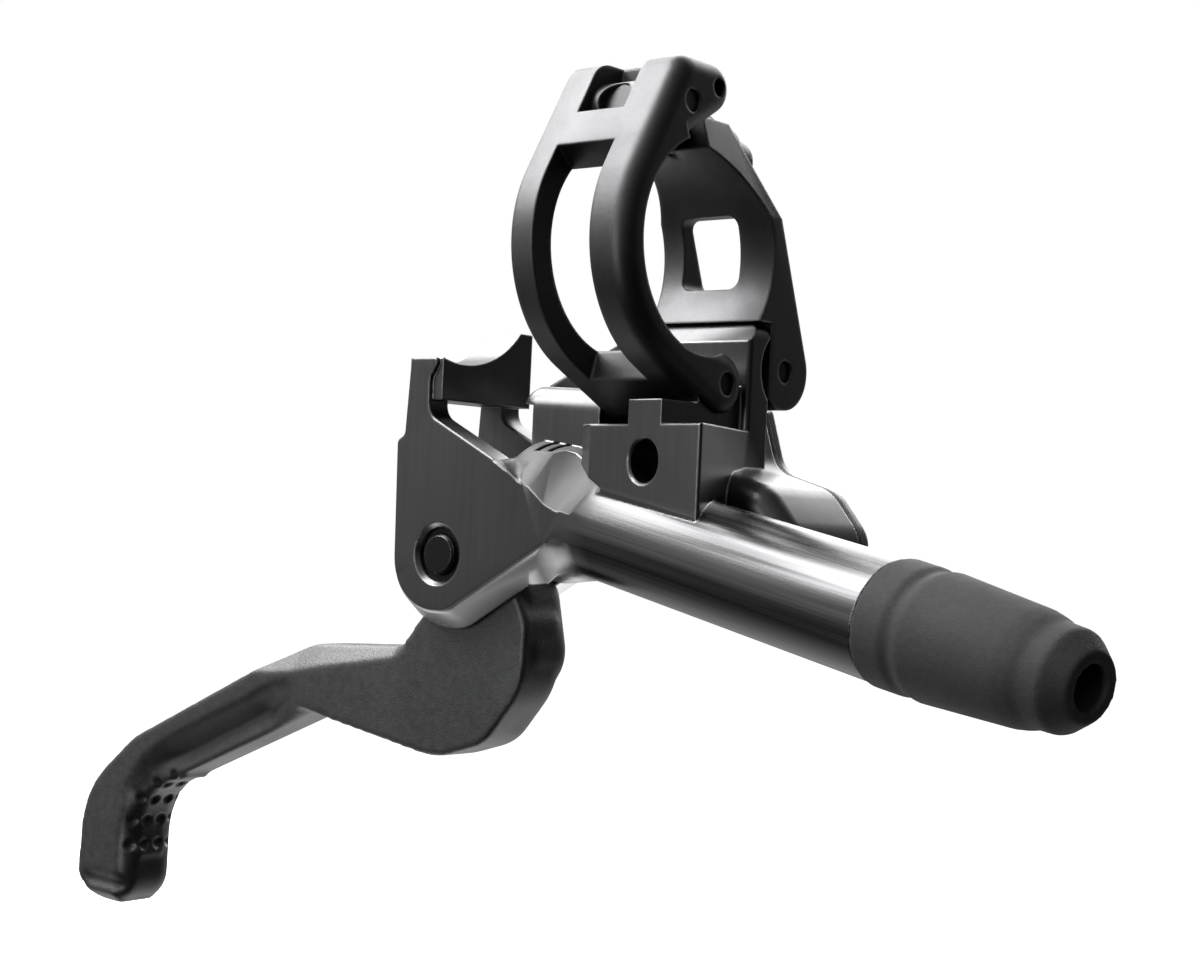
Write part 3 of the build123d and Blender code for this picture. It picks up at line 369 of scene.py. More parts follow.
def cylinder_group():
    """Place in the cylinder's own frame, and how far out from its axis."""
    found = bpy.data.node_groups.get("Cylinder Frame")
    if found:
        return found
    tree, inside, outside = new_group(
        "Cylinder Frame", [("Vector", "NodeSocketVector", None)],
        [("Vector", "NodeSocketVector"), ("Barrel", "NodeSocketFloat")])
    moved = node(tree, "ShaderNodeVectorMath", operation="SUBTRACT")
    feed(tree, moved.inputs[0], inside.outputs["Vector"])
    feed(tree, moved.inputs[1], CYLINDER_POINT)
    across = dot_node(tree, moved.outputs[0], CYLINDER_LEVEL)
    up = dot_node(tree, moved.outputs[0], CYLINDER_UP)
    along = dot_node(tree, moved.outputs[0], CYLINDER_ALONG)
    place = node(tree, "ShaderNodeCombineXYZ")
    for socket, value in zip(place.inputs, (across, up, along)):
        feed(tree, socket, value)
    flat = node(tree, "ShaderNodeCombineXYZ")
    feed(tree, flat.inputs[0], across)
    feed(tree, flat.inputs[1], up)
    length = node(tree, "ShaderNodeVectorMath", operation="LENGTH")
    feed(tree, length.inputs[0], flat.outputs[0])
    near = fade(tree, length.outputs["Value"], BARREL_SKIN, 1.0, 0.0)
    begun = fade(tree, along, BARREL_START)
    feed(tree, outside.inputs["Vector"], place.outputs[0])
    feed(tree, outside.inputs["Barrel"], math_node(tree, "MULTIPLY", near, begun))
    return tree


def place_group(tree, group, **inputs):
    made = node(tree, "ShaderNodeGroup", node_tree=group)
    for label, value in inputs.items():
        feed(tree, made.inputs[label], value)
    return made


def new_material(name):
    material = bpy.data.materials.new(name)
    material.use_nodes = True
    tree = material.node_tree
    tree.nodes.clear()
    output = tree.nodes.new("ShaderNodeOutputMaterial")
    shader = tree.nodes.new("ShaderNodeBsdfPrincipled")
    tree.links.new(shader.outputs[0], output.inputs[0])
    place = tree.nodes.new("ShaderNodeTexCoord").outputs["Object"]
    return material, tree, shader, place


def bump(tree, height, strength, distance, normal):
    made = node(tree, "ShaderNodeBump")
    feed(tree, made.inputs["Height"], height)
    feed(tree, made.inputs["Strength"], strength)
    feed(tree, made.inputs["Distance"], distance)
    feed(tree, made.inputs["Normal"], normal)
    return made.outputs["Normal"]


def plain_finish(name, colour, metallic, rough, grain=4000.0, depth=0.02, spread=0.12, lift=1.35,
                 radius=0.0003, edge_highlight=1.8, mottle=0.5, specular=0.5):
    """A finish with grain, mottling and smudges, and a painted highlight along its edges."""
    found = bpy.data.materials.get(name)
    if found:
        return found
    material, tree, shader, place = new_material(name)
    grains = place_group(tree, grain_group(), Vector=place, Scale=grain)
    smudge = place_group(tree, smudge_group(), Vector=place).outputs["Smudge"]
    edges = place_group(tree, edge_catch_group(), Radius=radius, Gain=5.0)
    spots = math_node(tree, "MULTIPLY", grains.outputs["Mottle"], mottle)
    tone = mix_node(tree, spots, colour, times(colour, lift))
    # Painted highlight along the edges
    tone = mix_node(tree, edges.outputs["Mask"], tone, times(colour, edge_highlight))
    feed(tree, shader.inputs["Base Color"], tone)
    sheen = math_node(tree, "MULTIPLY_ADD", smudge, spread)
    sheen.node.inputs[2].default_value = rough - spread / 2
    feed(tree, shader.inputs["Roughness"], sheen)
    shader.inputs["Metallic"].default_value = metallic
    shader.inputs["Specular IOR Level"].default_value = specular
    normal = bump(tree, grains.outputs["Grain"], 0.6, depth * MM, edges.outputs["Normal"])
    feed(tree, shader.inputs["Normal"], normal)
    return material


def flank_reflection_mask(tree, place):
    """The flanks under the ears, which face down and lie left of the barrel, for a painted
    reflection of light from below.
    """
    facing = dot_node(tree, node(tree, "ShaderNodeNewGeometry").outputs["Normal"], (0, 0, -1))
    down = map_node(tree, facing, 0.15, 0.4)
    left = fade(tree, dot_node(tree, place, (-1, 0, 0)), (6.0, 9.0))
    low = fade(tree, dot_node(tree, place, (0, 0, -1)), (26.0, 28.0))
    return math_node(tree, "MULTIPLY", math_node(tree, "MULTIPLY", down, left), low)


def hollow_shade_mask(tree, place):
    """The hollow in the shoulder, which faces up and towards the viewer, for painted shade."""
    facing = dot_node(tree, node(tree, "ShaderNodeNewGeometry").outputs["Normal"], (0, -0.8, 0.6))
    sloped = map_node(tree, facing, 0.80, 0.90)
    side = dot_node(tree, place, (1, 0, 0))
    begun = fade(tree, side, (-18.0, -16.0))
    ended = fade(tree, side, (-5.5, -2.5), 1.0, 0.0)
    inside = math_node(tree, "MULTIPLY", begun, ended)
    low = fade(tree, dot_node(tree, place, (0, 0, -1)), (20.0, 20.5))
    return math_node(tree, "MULTIPLY", math_node(tree, "MULTIPLY", sloped, inside), low)


def body_finish(settings):
    """Anodised aluminium: satin and faintly brushed on the flats, with a turned polish along the
    barrel. Its colour holds painted light and shade: a painted highlight on the barrel's upper half
    and painted shade on its lower half, a painted reflection on the flanks under the ears, painted
    shade in the shoulder's hollow and painted highlights along the edges.
    """
    found = bpy.data.materials.get("Gunmetal Anodised")
    if found:
        return found
    material, tree, shader, place = new_material("Gunmetal Anodised")
    cylinder = place_group(tree, cylinder_group(), Vector=place)
    barrel = cylinder.outputs["Barrel"]
    brushed = place_group(tree, streak_group(), Vector=place, Scale=1500.0, Length=25.0)
    round_place = cylinder.outputs["Vector"]
    turned = place_group(tree, streak_group(), Vector=round_place, Scale=1300.0, Length=80.0)
    flat_lines = brushed.outputs["Streak"]
    barrel_lines = turned.outputs["Streak"]
    grains = place_group(tree, grain_group(), Vector=place, Scale=6000.0)
    smudge = place_group(tree, smudge_group(), Vector=place).outputs["Smudge"]
    edges = place_group(tree, edge_catch_group(), Radius=settings.edge_radius, Gain=7.0)
    colour = tuple(settings.body_colour)
    hollow = hollow_shade_mask(tree, place)

    # Painted light and shade on the barrel: a painted highlight on the upper half, painted shade on
    # the lower half, both streaked by the turning
    upper = node(tree, "ShaderNodeSeparateXYZ")
    feed(tree, upper.inputs[0], round_place)
    upper_half = fade(tree, upper.outputs[1], BARREL_SHADE)
    barrel_painted_tone = mix_node(tree, barrel_lines, *(times(colour, light) for light in BARREL_PAINTED_HIGHLIGHT))
    shaded = mix_node(tree, barrel_lines, *(times(colour, light) for light in BARREL_PAINTED_SHADE))
    barrel_painted_tone = mix_node(tree, upper_half, shaded, barrel_painted_tone)
    brushing = math_node(tree, "MULTIPLY", flat_lines, 0.3)
    tone = mix_node(tree, brushing, colour, times(colour, BRUSHED_LIGHT))
    # Painted reflection of light from below on the down-facing flanks under the ears
    tone = mix_node(tree, flank_reflection_mask(tree, place), tone, times(colour, FLANK_PAINTED_REFLECTION))
    tone = mix_node(tree, barrel, tone, barrel_painted_tone)
    # Painted shade in the shoulder's hollow
    tone = mix_node(tree, hollow, tone, times(colour, HOLLOW_PAINTED_SHADE))
    # Painted highlight along the edges
    tone = mix_node(tree, edges.outputs["Mask"], tone, times(colour, EDGE_PAINTED_HIGHLIGHT))
    feed(tree, shader.inputs["Base Color"], tone)

    sheen = map_node(tree, smudge, 0.0, 1.0, 0.27, 0.36)
    polish = map_node(tree, barrel_lines, 0.0, 1.0, 0.20, 0.34)
    rough = mix_values(tree, barrel, sheen, polish)
    rough = math_node(tree, "ADD", rough, math_node(tree, "MULTIPLY", hollow, 0.12))
    feed(tree, shader.inputs["Roughness"], rough)
    shader.inputs["Metallic"].default_value = 1.0

    flat_relief = math_node(tree, "MULTIPLY", flat_lines, 0.22)
    barrel_relief = math_node(tree, "MULTIPLY", barrel_lines, 2.0)
    relief = math_node(tree, "MULTIPLY_ADD", grains.outputs["Grain"], 0.4)
    feed(tree, relief.node.inputs[2], mix_values(tree, barrel, flat_relief, barrel_relief))
    normal = bump(tree, relief, 0.35, 0.012 * MM, edges.outputs["Normal"])
    feed(tree, shader.inputs["Normal"], normal)
    return material


def finish_for(name, settings):
    """The material of one of the record's slots."""
    # The edge setting in each finish below is the strength of its painted highlight along the edges
    if name == "body_anodised":
        return body_finish(settings)
    if name == "clamp_anodised":
        return plain_finish("Blasted Black Anodised", tuple(settings.clamp_colour), 1.0, 0.46,
                            grain=5200.0, depth=0.03, radius=0.0005, edge_highlight=1.6, lift=1.25)
    if name == "lever_composite":
        return plain_finish("Charcoal Composite", tuple(settings.blade_colour), 0.0, 0.38,
                            grain=3600.0, depth=0.07, lift=3.2, mottle=0.9, edge_highlight=8.0,
                            radius=0.0006, specular=1.0)
    if name == "boot_rubber":
        return plain_finish("Boot Rubber", tuple(settings.boot_colour), 0.0, 0.72, grain=5200.0,
                            depth=0.09, lift=1.6, edge_highlight=1.3, specular=0.25)
    if name == "pin_black_steel":
        return plain_finish("Blackened Steel", (0.012, 0.012, 0.013), 0.7, 0.30, grain=5000.0,
                            depth=0.012, edge_highlight=14.0, radius=0.0002)
    if name == "hardware_steel":
        return plain_finish("Plated Steel", (0.30, 0.30, 0.31), 1.0, 0.32, depth=0.01, lift=1.2)
    if name == "bush_bronze":
        return plain_finish("Bearing Bronze", (0.020, 0.019, 0.018), 0.9, 0.40,
                            depth=0.01, lift=1.2)
    if name == "piston_aluminium":
        return plain_finish("Clear Anodised", (0.52, 0.52, 0.54), 1.0, 0.28, depth=0.008, lift=1.1)
    return plain_finish("Seal Rubber", (0.018, 0.018, 0.018), 0.0, 0.55,
                        depth=0.03, lift=1.3, edge_highlight=1.2)


# Mesh helpers

def select_only(piece):
    bpy.ops.object.select_all(action="DESELECT")
    piece.select_set(True)
    bpy.context.view_layer.objects.active = piece


def edit_vertices(piece, chosen):
    """Go into edit mode with the chosen vertices selected."""
    select_only(piece)
    bpy.context.tool_settings.mesh_select_mode = (True, False, False)
    bpy.ops.object.mode_set(mode="EDIT")
    bpy.ops.mesh.select_all(action="DESELECT")
    bpy.ops.object.mode_set(mode="OBJECT")
    piece.data.vertices.foreach_set("select", chosen)
    bpy.ops.object.mode_set(mode="EDIT")


def face_outwards(piece):
    """Turn all the faces of a closed piece outwards."""
    select_only(piece)
    bpy.ops.object.mode_set(mode="EDIT")
    bpy.ops.mesh.select_all(action="SELECT")
    bpy.ops.mesh.normals_make_consistent(inside=False)
    bpy.ops.object.mode_set(mode="OBJECT")


def slot_of(name):
    for part in frame["record"]["subparts"]:
        if part["node"] == name:
            return part["material_slot"]
    raise RuntimeError(f"the record has no slot for {name}")


def body_of(name):
    for body, nodes in frame["record"]["behaviour"]["bodies"].items():
        if name in nodes:
            return body
    raise RuntimeError(f"the record has no body for {name}")


def merged_copy(name, new_name):
    """A copy of a CAD node with its triangles joined."""
    piece = bpy.data.objects.new(new_name, frame["nodes"][name].data.copy())
    bpy.context.scene.collection.objects.link(piece)
    select_only(piece)
    bpy.ops.object.mode_set(mode="EDIT")
    bpy.ops.mesh.select_all(action="SELECT")
    bpy.ops.mesh.customdata_custom_splitnormals_clear()
    bpy.ops.mesh.remove_doubles(threshold=2e-6)
    bpy.ops.object.mode_set(mode="OBJECT")
    return piece


def take_over(piece, name, settings):
    """Put the finish on a piece, and let it stand for its CAD node."""
    piece.data.materials.clear()
    piece.data.materials.append(finish_for(LIKE_THE_CLAMP.get(name, slot_of(name)), settings))
    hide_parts(name)
    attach(piece, body_of(name))


def machined_piece(name, settings):
    piece = merged_copy(name, name + "_dressed")
    bpy.ops.object.shade_smooth_by_angle(angle=SMOOTH_ANGLE)
    take_over(piece, name, settings)
    return piece


def rounded_outline(corners, steps=8):
    """Points of a closed outline from corners, (x, z, radius) in mm."""
    points = []
    for i, (x, z, radius) in enumerate(corners):
        here = Vector((x, z))
        back = (Vector(corners[i - 1][:2]) - here).normalized()
        ahead = (Vector(corners[(i + 1) % len(corners)][:2]) - here).normalized()
        if not radius:
            points.append(here)
            continue
        half = back.angle(ahead) / 2
        centre = here + (back + ahead).normalized() * (radius / math.sin(half))
        start = here + back * (radius / math.tan(half)) - centre
        end = here + ahead * (radius / math.tan(half)) - centre
        for k in range(steps + 1):
            points.append(centre + start.lerp(end, k / steps).normalized() * radius)
    return points


def add_plate(name, corners, near, far, draft, draft_from):
    """A plate standing between two places in Y, its far rim sloped back right of a place in X."""
    outline = rounded_outline(corners)
    bpy.ops.object.select_all(action="DESELECT")
    bpy.context.tool_settings.mesh_select_mode = (True, False, False)
    bpy.ops.mesh.primitive_circle_add(vertices=len(outline), fill_type="NGON")
    plate = bpy.context.object
    plate.name = name
    for vertex, point in zip(plate.data.vertices, outline):
        vertex.co = (point.x * MM, near * MM, point.y * MM)
    bpy.ops.object.mode_set(mode="EDIT")
    bpy.ops.mesh.select_all(action="SELECT")
    bpy.ops.mesh.extrude_region_move(TRANSFORM_OT_translate={"value": (0, (far - near) * MM, 0)})
    bpy.ops.mesh.select_all(action="DESELECT")
    bpy.ops.object.mode_set(mode="OBJECT")
    for vertex in plate.data.vertices:
        vertex.select = vertex.co.y > (near + far) / 2 * MM and vertex.co.x > draft_from * MM
    bpy.ops.object.mode_set(mode="EDIT")
    bpy.ops.mesh.bevel(offset=draft * MM, segments=3, affect="EDGES")
    bpy.ops.object.mode_set(mode="OBJECT")
    face_outwards(plate)
    return plate


def join_into(piece, other):
    select_only(piece)
    other.select_set(True)
    bpy.ops.object.join()


def even_skin(piece, voxel, rounds):
    """Remesh a piece to an even skin, its edges softened as moulding leaves them."""
    select_only(piece)
    bpy.ops.object.modifier_add(type="REMESH")
    remesh = piece.modifiers[-1]
    remesh.mode = "VOXEL"
    remesh.voxel_size = voxel
    bpy.ops.object.modifier_apply(modifier=remesh.name)
    if rounds:
        bpy.ops.object.modifier_add(type="SMOOTH")
        smooth = piece.modifiers[-1]
        smooth.factor = 0.5
        smooth.iterations = rounds
        bpy.ops.object.modifier_apply(modifier=smooth.name)
    bpy.ops.object.shade_smooth()


def refine_near(piece, centre, reach):
    """Split the faces near a line along Y once, for finer forms there."""
    points = points_and_normals(piece)[0]
    distance = np.linalg.norm(points[:, [0, 2]] - np.array(centre) * MM, axis=1)
    edit_vertices(piece, distance < reach * MM)
    bpy.ops.mesh.subdivide(number_cuts=1)
    bpy.ops.object.mode_set(mode="OBJECT")


def soft_step(value):
    value = np.clip(value, 0, 1)
    return value * value * (3 - 2 * value)


def points_and_normals(piece):
    count = len(piece.data.vertices)
    points = np.zeros(count * 3)
    normals = np.zeros(count * 3)
    piece.data.vertices.foreach_get("co", points)
    piece.data.vertex_normals.foreach_get("vector", normals)
    return points.reshape(-1, 3), normals.reshape(-1, 3)


def from_line(points, line):
    """Distance of points (x, z) from a bent line, positive on its right, and the share passed."""
    best = np.full(len(points), 1e9)
    signed = np.zeros(len(points))
    share = np.zeros(len(points))
    for i in range(len(line) - 1):
        a = np.array(line[i])
        run = np.array(line[i + 1]) - a
        t = np.clip(((points - a) @ run) / (run @ run), 0, 1)
        d = np.linalg.norm(points - (a + t[:, None] * run), axis=1)
        side = np.sign((points - a) @ np.array((run[1], -run[0])))
        closer = d < best
        best[closer] = d[closer]
        signed[closer] = (d * side)[closer]
        share[closer] = (i + t[closer]) / (len(line) - 1)
    return signed, share


class BRAKELEVER_OT_body(bpy.types.Operator):
    """Dress the machined body and the reservoir's cover"""
    bl_idname = "brake_lever.body"
    bl_label = "Machined Body"

    def execute(self, context):
        settings = context.scene.brake_lever
        piece = merged_copy("master_cylinder", "master_cylinder_dressed")
        self.slope_ear_flank(piece)
        self.soften_shoulder(piece)
        self.cut_shoulder_hollow(piece)
        bpy.ops.object.shade_smooth_by_angle(angle=SMOOTH_ANGLE)
        take_over(piece, "master_cylinder", settings)
        machined_piece("reservoir_cover", settings)
        return {"FINISHED"}

    def slope_ear_flank(self, piece):
        """Slope the near ear's lower flank outwards, away from the viewer."""
        points, normals = points_and_normals(piece)
        x, depth, z = (points / MM).T
        depth = (depth - EAR_NEAR) / EAR_THICK
        outward = normals[:, [0, 2]]
        length = np.linalg.norm(outward, axis=1)
        outward = outward / np.maximum(length, 1e-9)[:, None]
        from_pivot = np.hypot(x - EAR_PIVOT[0], z - EAR_PIVOT[1])
        on_flank = (z < FLANK_TOP) & (depth > -0.01) & (depth < 1.01)
        on_flank &= (length > 0.2) & (from_pivot > EAR_ROUND)
        weight = soft_step((-outward[:, 1] - 0.2) / 0.4) * soft_step((-9.0 - x) / 4.0)
        move = on_flank * weight * np.clip(depth, 0, 1) * FLANK_SLOPE * MM
        points[:, [0, 2]] += outward * move[:, None]
        piece.data.vertices.foreach_set("co", points.ravel())
        piece.data.update()

    def cut_shoulder_hollow(self, piece):
        """Cut the sloped hollow that runs from the ear's upper edge down to the barrel."""
        count = len(HOLLOW_LINE)
        line = [Vector((x, EAR_NEAR + out, z)) * MM for (x, z), out in zip(HOLLOW_LINE, HOLLOW_OUT)]
        deep = [Vector((x, EAR_NEAR + out, z)) * MM for (x, z), out in zip(HOLLOW_TOP, HOLLOW_OUT)]
        front = Vector((0, -HOLLOW_CLEARANCE * MM, 0))
        points = list(line)
        for low, high in zip(line, deep):
            points.append(high + Vector((0, HOLLOW_SLOPE * (high - low).length, 0)))
        points += [place + front for place in line + deep]
        a, b, c, d = (range(k * count, (k + 1) * count) for k in range(4))
        faces = [(a[0], b[0], d[0], c[0]), (c[-1], d[-1], b[-1], a[-1])]
        for i in range(count - 1):
            faces += [(a[i], a[i + 1], b[i + 1], b[i]), (c[i], d[i], d[i + 1], c[i + 1]),
                      (a[i], c[i], c[i + 1], a[i + 1]), (b[i], b[i + 1], d[i + 1], d[i])]
        mesh = bpy.data.meshes.new("hollow_cutter")
        mesh.from_pydata([tuple(p) for p in points], [], faces)
        cutter = bpy.data.objects.new("hollow_cutter", mesh)
        bpy.context.scene.collection.objects.link(cutter)
        face_outwards(cutter)
        select_only(piece)
        bpy.ops.object.modifier_add(type="BOOLEAN")
        cut = piece.modifiers[-1]
        cut.operation = "DIFFERENCE"
        cut.object = cutter
        bpy.ops.object.modifier_apply(modifier=cut.name)
        bpy.data.objects.remove(cutter)

    def soften_shoulder(self, piece):
        """Round the facets between the near ear and the barrel into one hollow sweep."""
        points = points_and_normals(piece)[0] / MM
        edit_vertices(piece, np.all((points >= SHOULDER_LOW) & (points <= SHOULDER_HIGH), axis=1))
        bpy.ops.mesh.subdivide(number_cuts=SHOULDER_CUTS)
        bpy.ops.mesh.select_less()
        bpy.ops.mesh.vertices_smooth(factor=0.5, repeat=SHOULDER_SMOOTHING)
        bpy.ops.object.mode_set(mode="OBJECT")


class BRAKELEVER_OT_clamp(bpy.types.Operator):
    """Dress the two clamp bands"""
    bl_idname = "brake_lever.clamp"
    bl_label = "Clamp Bands"

    def execute(self, context):
        for name in ("front_clamp_band", "rear_clamp_band"):
            machined_piece(name, context.scene.brake_lever)
        return {"FINISHED"}


class BRAKELEVER_OT_blade(bpy.types.Operator):
    """Model the lever blade with its hollow and its dimpled finger rest"""
    bl_idname = "brake_lever.blade"
    bl_label = "Lever Blade"

    def execute(self, context):
        settings = context.scene.brake_lever
        piece = merged_copy("lever_blade", "lever_blade_moulded")
        join_into(piece, add_plate(
            "blade_plate", PLATE_CORNERS, BLADE_NEAR, PLATE_FAR, PLATE_DRAFT, PLATE_DRAFT_FROM))
        even_skin(piece, BLADE_FIRST_SKIN * MM, 0)
        self.carve(piece, settings)
        even_skin(piece, BLADE_SKIN * MM, BLADE_SMOOTHING)
        refine_near(piece, REST_CENTRE, REST_RADIUS + 3.6)
        self.press_dimples(piece, settings)
        take_over(piece, "lever_blade", settings)
        return {"FINISHED"}

    def carve(self, piece, settings):
        points, normals = points_and_normals(piece)
        flat = points[:, [0, 2]] / MM
        facing = np.clip(-normals[:, 1] * 1.4 - 0.2, 0, 1)
        self.carve_top_facet(points, flat)
        self.carve_groove(points, flat, facing, settings.groove_depth)
        self.carve_tip(points, flat, facing)
        self.fill_dimples(points)
        piece.data.vertices.foreach_set("co", points.ravel())
        piece.data.update()

    def carve_top_facet(self, points, flat):
        """The sloped facet along the top of the arm."""
        above, share = from_line(flat, TOP_FACET_LINE)
        facet = (BLADE_NEAR + TOP_FACET_SLOPE * above) * MM
        beside = (above > 0) & (share > 0.005) & (share < 0.995)
        on_facet = beside & (points[:, 1] < BLADE_INSIDE * MM)
        points[on_facet, 1] = np.maximum(points[on_facet, 1], facet[on_facet])

    def carve_groove(self, points, flat, facing, depth):
        """The groove along the arm: a steep wall, a floor that rises to the ridge, soft ends."""
        above, share = from_line(flat, GROOVE_RIDGE)
        fall = soft_step((GROOVE_WALL[0] - above) / GROOVE_WALL[1])
        rise = np.clip((GROOVE_FLOOR[0] - above) / GROOVE_FLOOR[1], 0, 1)
        ends = soft_step(share / 0.2) * soft_step((1 - share) / 0.2)
        ends *= 1 - 0.6 * soft_step((share - 0.55) / 0.3)
        points[:, 1] += depth * (fall - 0.8 * rise) * ends * facing

    def carve_tip(self, points, flat, facing):
        """The hollow across the tip, and the tip's rounded end."""
        x, z = flat.T
        across = np.exp(-((z - TIP_HOLLOW_Z) / TIP_HOLLOW_HALF) ** 2)
        middle = soft_step((x + 90.5) / 2.5) * soft_step((-80.2 - x) / 2.5)
        points[:, 1] += TIP_HOLLOW_DEPTH * MM * across * middle * facing
        roll = TIP_ROLL_DEPTH * np.clip((TIP_ROLL_Z - z) / TIP_ROLL_LENGTH, 0, 1) ** 2
        low = z < TIP_ROLL_Z
        near = low & (points[:, 1] < BLADE_INSIDE * MM)
        points[near, 1] = np.maximum(points[near, 1], (BLADE_NEAR + roll[near]) * MM)
        far = low & (points[:, 1] > BLADE_INSIDE * MM)
        points[far, 1] = np.minimum(points[far, 1], (BLADE_FAR - roll[far]) * MM)

    def fill_dimples(self, points):
        """Level the CAD mesh's coarse dimples, in the flat middle of the finger rest."""
        x, y, z = (points / MM).T
        x, z = x - REST_CENTRE[0], z - REST_CENTRE[1]
        out = np.hypot(x, z)
        bearing = np.degrees(np.arctan2(z, x)) % 360
        turn = abs(bearing - REST_BEARING)
        deep = (out > REST_RADIUS) & (out < REST_RADIUS + 0.9)
        deep &= (turn < REST_HALF_TURN) & (y > 1.5) & (y < 5.5)
        share = 1 + soft_step((REST_HALF_TURN - turn) / REST_FADE) * (REST_RADIUS / out - 1)
        points[deep, 0] = (REST_CENTRE[0] + (x * share)[deep]) * MM
        points[deep, 2] = (REST_CENTRE[1] + (z * share)[deep]) * MM

    def press_dimples(self, piece, settings):
        """Rows of round dimples, each pressed in along the surface's own normal."""
        points, normals = points_and_normals(piece)
        for row in range(DIMPLE_ROWS):
            turn = math.radians(REST_BEARING + DIMPLE_TURN * (row - (DIMPLE_ROWS - 1) / 2))
            x = REST_CENTRE[0] + REST_RADIUS * math.cos(turn)
            z = REST_CENTRE[1] + REST_RADIUS * math.sin(turn)
            for y in DIMPLE_PLACES:
                aim = np.array((x, y, z)) * MM
                nearest = np.linalg.norm(points - aim, axis=1).argmin()
                gap = np.linalg.norm(points - points[nearest], axis=1) / (DIMPLE_RADIUS * MM)
                dent = np.clip(1 - gap ** 2, 0, 1) * settings.dimple_depth
                points -= dent[:, None] * normals[nearest]
        piece.data.vertices.foreach_set("co", points.ravel())
        piece.data.update()


class BRAKELEVER_OT_boot(bpy.types.Operator):
    """Model the soft rubber boot over the hose fitting"""
    bl_idname = "brake_lever.boot"
    bl_label = "Hose Boot"

    def execute(self, context):
        piece = merged_copy("hose_boot", "hose_boot_moulded")
        even_skin(piece, BOOT_SKIN * MM, BOOT_SMOOTHING)
        take_over(piece, "hose_boot", context.scene.brake_lever)
        return {"FINISHED"}


class BRAKELEVER_OT_hardware(bpy.types.Operator):
    """Dress the pins, bolts, bushes and everything inside the bore"""
    bl_idname = "brake_lever.hardware"
    bl_label = "Pins and Inner Pieces"

    def execute(self, context):
        settings = context.scene.brake_lever
        seen = (
            "front_hinge_pin", "rear_hinge_pin", "barrel_nut", "clamp_bolt", "bolt_washer",
            "pivot_pin", "pivot_clip", "ear_bushes", "trunnion", "pushrod", "cover_screws",
            "bleed_screw",
        )
        for name in seen:
            machined_piece(name, settings)
        self.add_return_spring(settings)
        for name, part in frame["nodes"].items():
            if not part.hide_render:
                part.data.materials.clear()
                part.data.materials.append(finish_for(slot_of(name), settings))
        return {"FINISHED"}


    def add_return_spring(self, settings):
        """Dress the return spring on a mesh of its own."""
        piece = machined_piece("return_spring", settings)
        along = (points_and_normals(piece)[0] - np.array(CYLINDER_POINT)) @ np.array(CYLINDER_ALONG)
        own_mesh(piece)


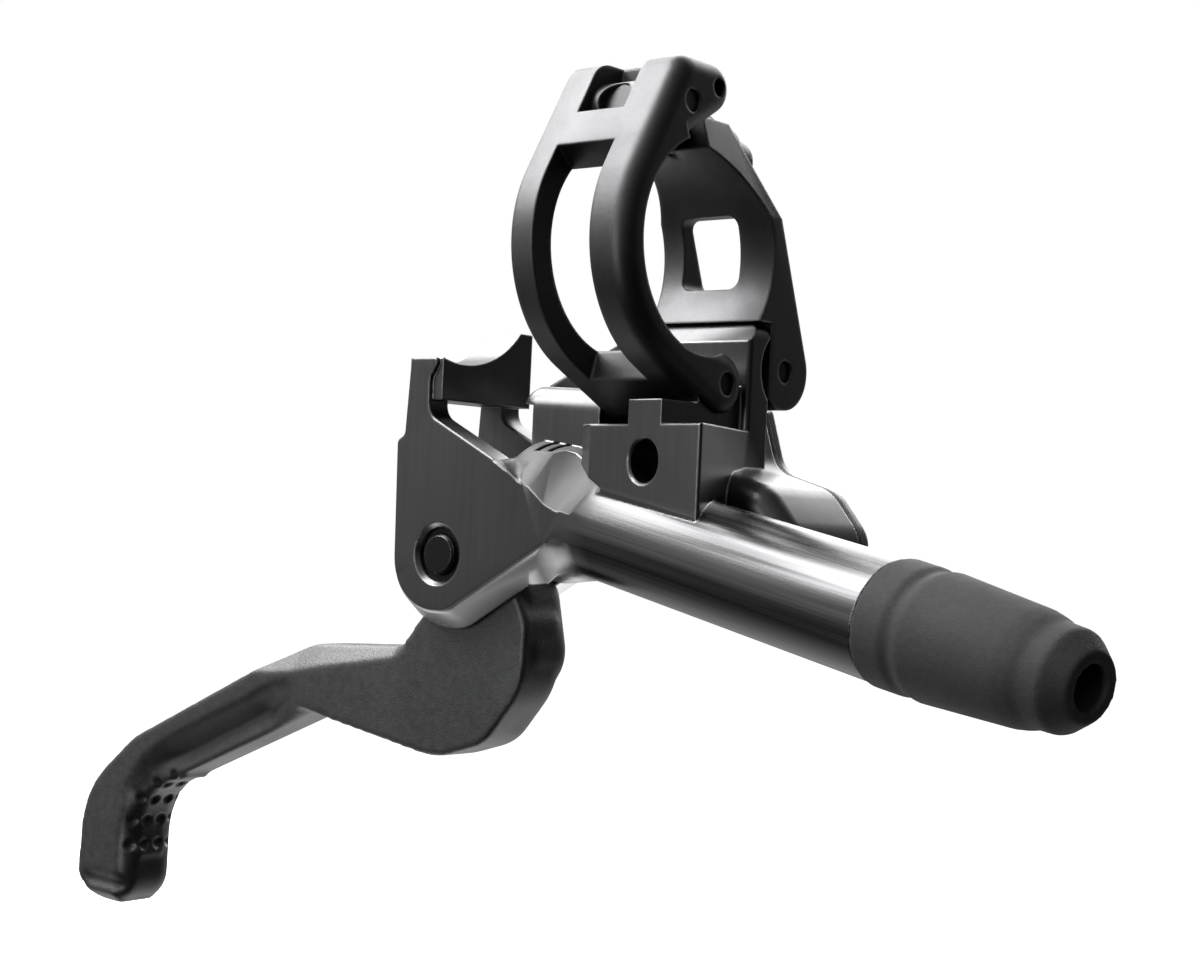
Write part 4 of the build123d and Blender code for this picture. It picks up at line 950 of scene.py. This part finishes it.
class BRAKELEVER_OT_studio(bpy.types.Operator):
    """Set up the pale floor, the soft lights and the camera"""
    bl_idname = "brake_lever.studio"
    bl_label = "Studio"

    def execute(self, context):
        self.add_floor()
        self.add_lights(context.scene.brake_lever.key_power)
        self.add_world()
        self.add_camera()
        return {"FINISHED"}

    def add_floor(self):
        """A flat pale floor."""
        bpy.ops.object.select_all(action="DESELECT")
        bpy.ops.mesh.primitive_plane_add(size=FLOOR_SIZE, location=(0, 0, FLOOR_HEIGHT))
        floor = bpy.context.object
        floor.name = "studio_floor"
        material, tree, shader, place = new_material("Pale Floor")
        pale = mix_node(tree, noise_node(tree, place, 2.0), (0.90, 0.90, 0.90), (0.92, 0.92, 0.92))
        feed(tree, shader.inputs["Base Color"], pale)
        feed(tree, shader.inputs["Emission Color"], pale)
        shader.inputs["Emission Strength"].default_value = 0.8
        shader.inputs["Roughness"].default_value = 0.9
        shader.inputs["Specular IOR Level"].default_value = 0.1
        floor.data.materials.append(material)
        floor.visible_glossy = False
        floor.visible_diffuse = False
        floor.visible_shadow = False

    def add_lights(self, power):
        towards = CAMERA_RIGHT.cross(CAMERA_DOWN)
        for name, (way, distance, size, share, long_side) in LIGHTS.items():
            left, up, behind = way
            out = (-CAMERA_RIGHT * left - CAMERA_DOWN * up + towards * behind).normalized()
            light = bpy.data.lights.new(name, "AREA")
            light.energy = power * share
            light.size = size
            if long_side:
                light.shape = "RECTANGLE"
                light.size_y = long_side
            lamp = bpy.data.objects.new(name, light)
            bpy.context.scene.collection.objects.link(lamp)
            lamp.location = LIT_POINT + out * distance
            lamp.rotation_euler = (-out).to_track_quat("-Z", "Y").to_euler()

    def add_world(self):
        """A pale room, brighter above and on the left, with a lit floor and far wall."""
        world = bpy.data.worlds.new("Soft Room")
        bpy.context.scene.world = world
        world.use_nodes = True
        tree = world.node_tree
        tree.nodes.clear()
        output = tree.nodes.new("ShaderNodeOutputWorld")
        background = tree.nodes.new("ShaderNodeBackground")
        tree.links.new(background.outputs[0], output.inputs[0])
        background.inputs["Color"].default_value = (1.0, 1.0, 1.0, 1.0)
        way = tree.nodes.new("ShaderNodeTexCoord").outputs["Generated"]
        height = map_node(tree, dot_node(tree, way, (0, 0, 1)), -0.2, 0.6, 0.02, 0.62)
        side = map_node(tree, dot_node(tree, way, -CAMERA_RIGHT), -0.6, 0.8, 0.14, 1.0)
        below = map_node(tree, dot_node(tree, way, (0, 0, -1)), 0.25, 0.7)
        behind = map_node(tree, dot_node(tree, way, CAMERA_RIGHT.cross(CAMERA_DOWN)), -0.1, 0.6)
        bounce = math_node(tree, "MULTIPLY", below, behind)
        far_wall = math_node(tree, "MULTIPLY", map_node(tree, behind, 0.45, 1.0), 0.30)
        room = math_node(tree, "MULTIPLY_ADD", height, side)
        feed(tree, room.node.inputs[2], math_node(tree, "ADD", bounce, far_wall))
        seen = tree.nodes.new("ShaderNodeLightPath").outputs["Is Camera Ray"]
        feed(tree, background.inputs["Strength"], mix_values(tree, seen, room, 1.0))

    def add_camera(self):
        """The photograph's camera."""
        data = bpy.data.cameras.new("photo_camera")
        data.lens = CAMERA_LENS
        data.sensor_width = CAMERA_SENSOR
        data.clip_start = 0.01
        camera = bpy.data.objects.new("photo_camera", data)
        bpy.context.scene.collection.objects.link(camera)
        right = CAMERA_RIGHT.normalized()
        up = (-CAMERA_DOWN - right * (-CAMERA_DOWN).dot(right)).normalized()
        back = right.cross(up)
        turn = Matrix((right, up, back)).transposed()
        camera.matrix_world = Matrix.Translation(CAMERA_PLACE) @ turn.to_4x4()
        bpy.context.scene.camera = camera
        bpy.context.scene.view_settings.view_transform = "Standard"


class BRAKELEVER_PT_panel(bpy.types.Panel):
    """Lists the pieces and their settings"""
    bl_idname = "BRAKELEVER_PT_panel"
    bl_label = "Brake Lever"
    bl_space_type = "VIEW_3D"
    bl_region_type = "UI"
    bl_category = "Brake Lever"

    def draw(self, context):
        for name in BrakeLeverSettings.__annotations__:
            self.layout.prop(context.scene.brake_lever, name)
        for operator in OPERATORS:
            self.layout.operator(operator.bl_idname)


OPERATORS = (
    BRAKELEVER_OT_body, BRAKELEVER_OT_clamp, BRAKELEVER_OT_blade, BRAKELEVER_OT_boot,
    BRAKELEVER_OT_hardware, BRAKELEVER_OT_studio,
)
CLASSES = (BrakeLeverSettings, *OPERATORS, BRAKELEVER_PT_panel)


def register():
    for item in CLASSES:
        bpy.utils.register_class(item)
    bpy.types.Scene.brake_lever = bpy.props.PointerProperty(type=BrakeLeverSettings)


def unregister():
    del bpy.types.Scene.brake_lever
    for item in reversed(CLASSES):
        bpy.utils.unregister_class(item)


def main():
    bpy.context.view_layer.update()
    register()
    bpy.ops.brake_lever.body()
    bpy.ops.brake_lever.clamp()
    bpy.ops.brake_lever.blade()
    bpy.ops.brake_lever.boot()
    bpy.ops.brake_lever.hardware()
    bpy.ops.brake_lever.studio()
    bpy.context.view_layer.update()


if __name__ == "__main__":
    main()
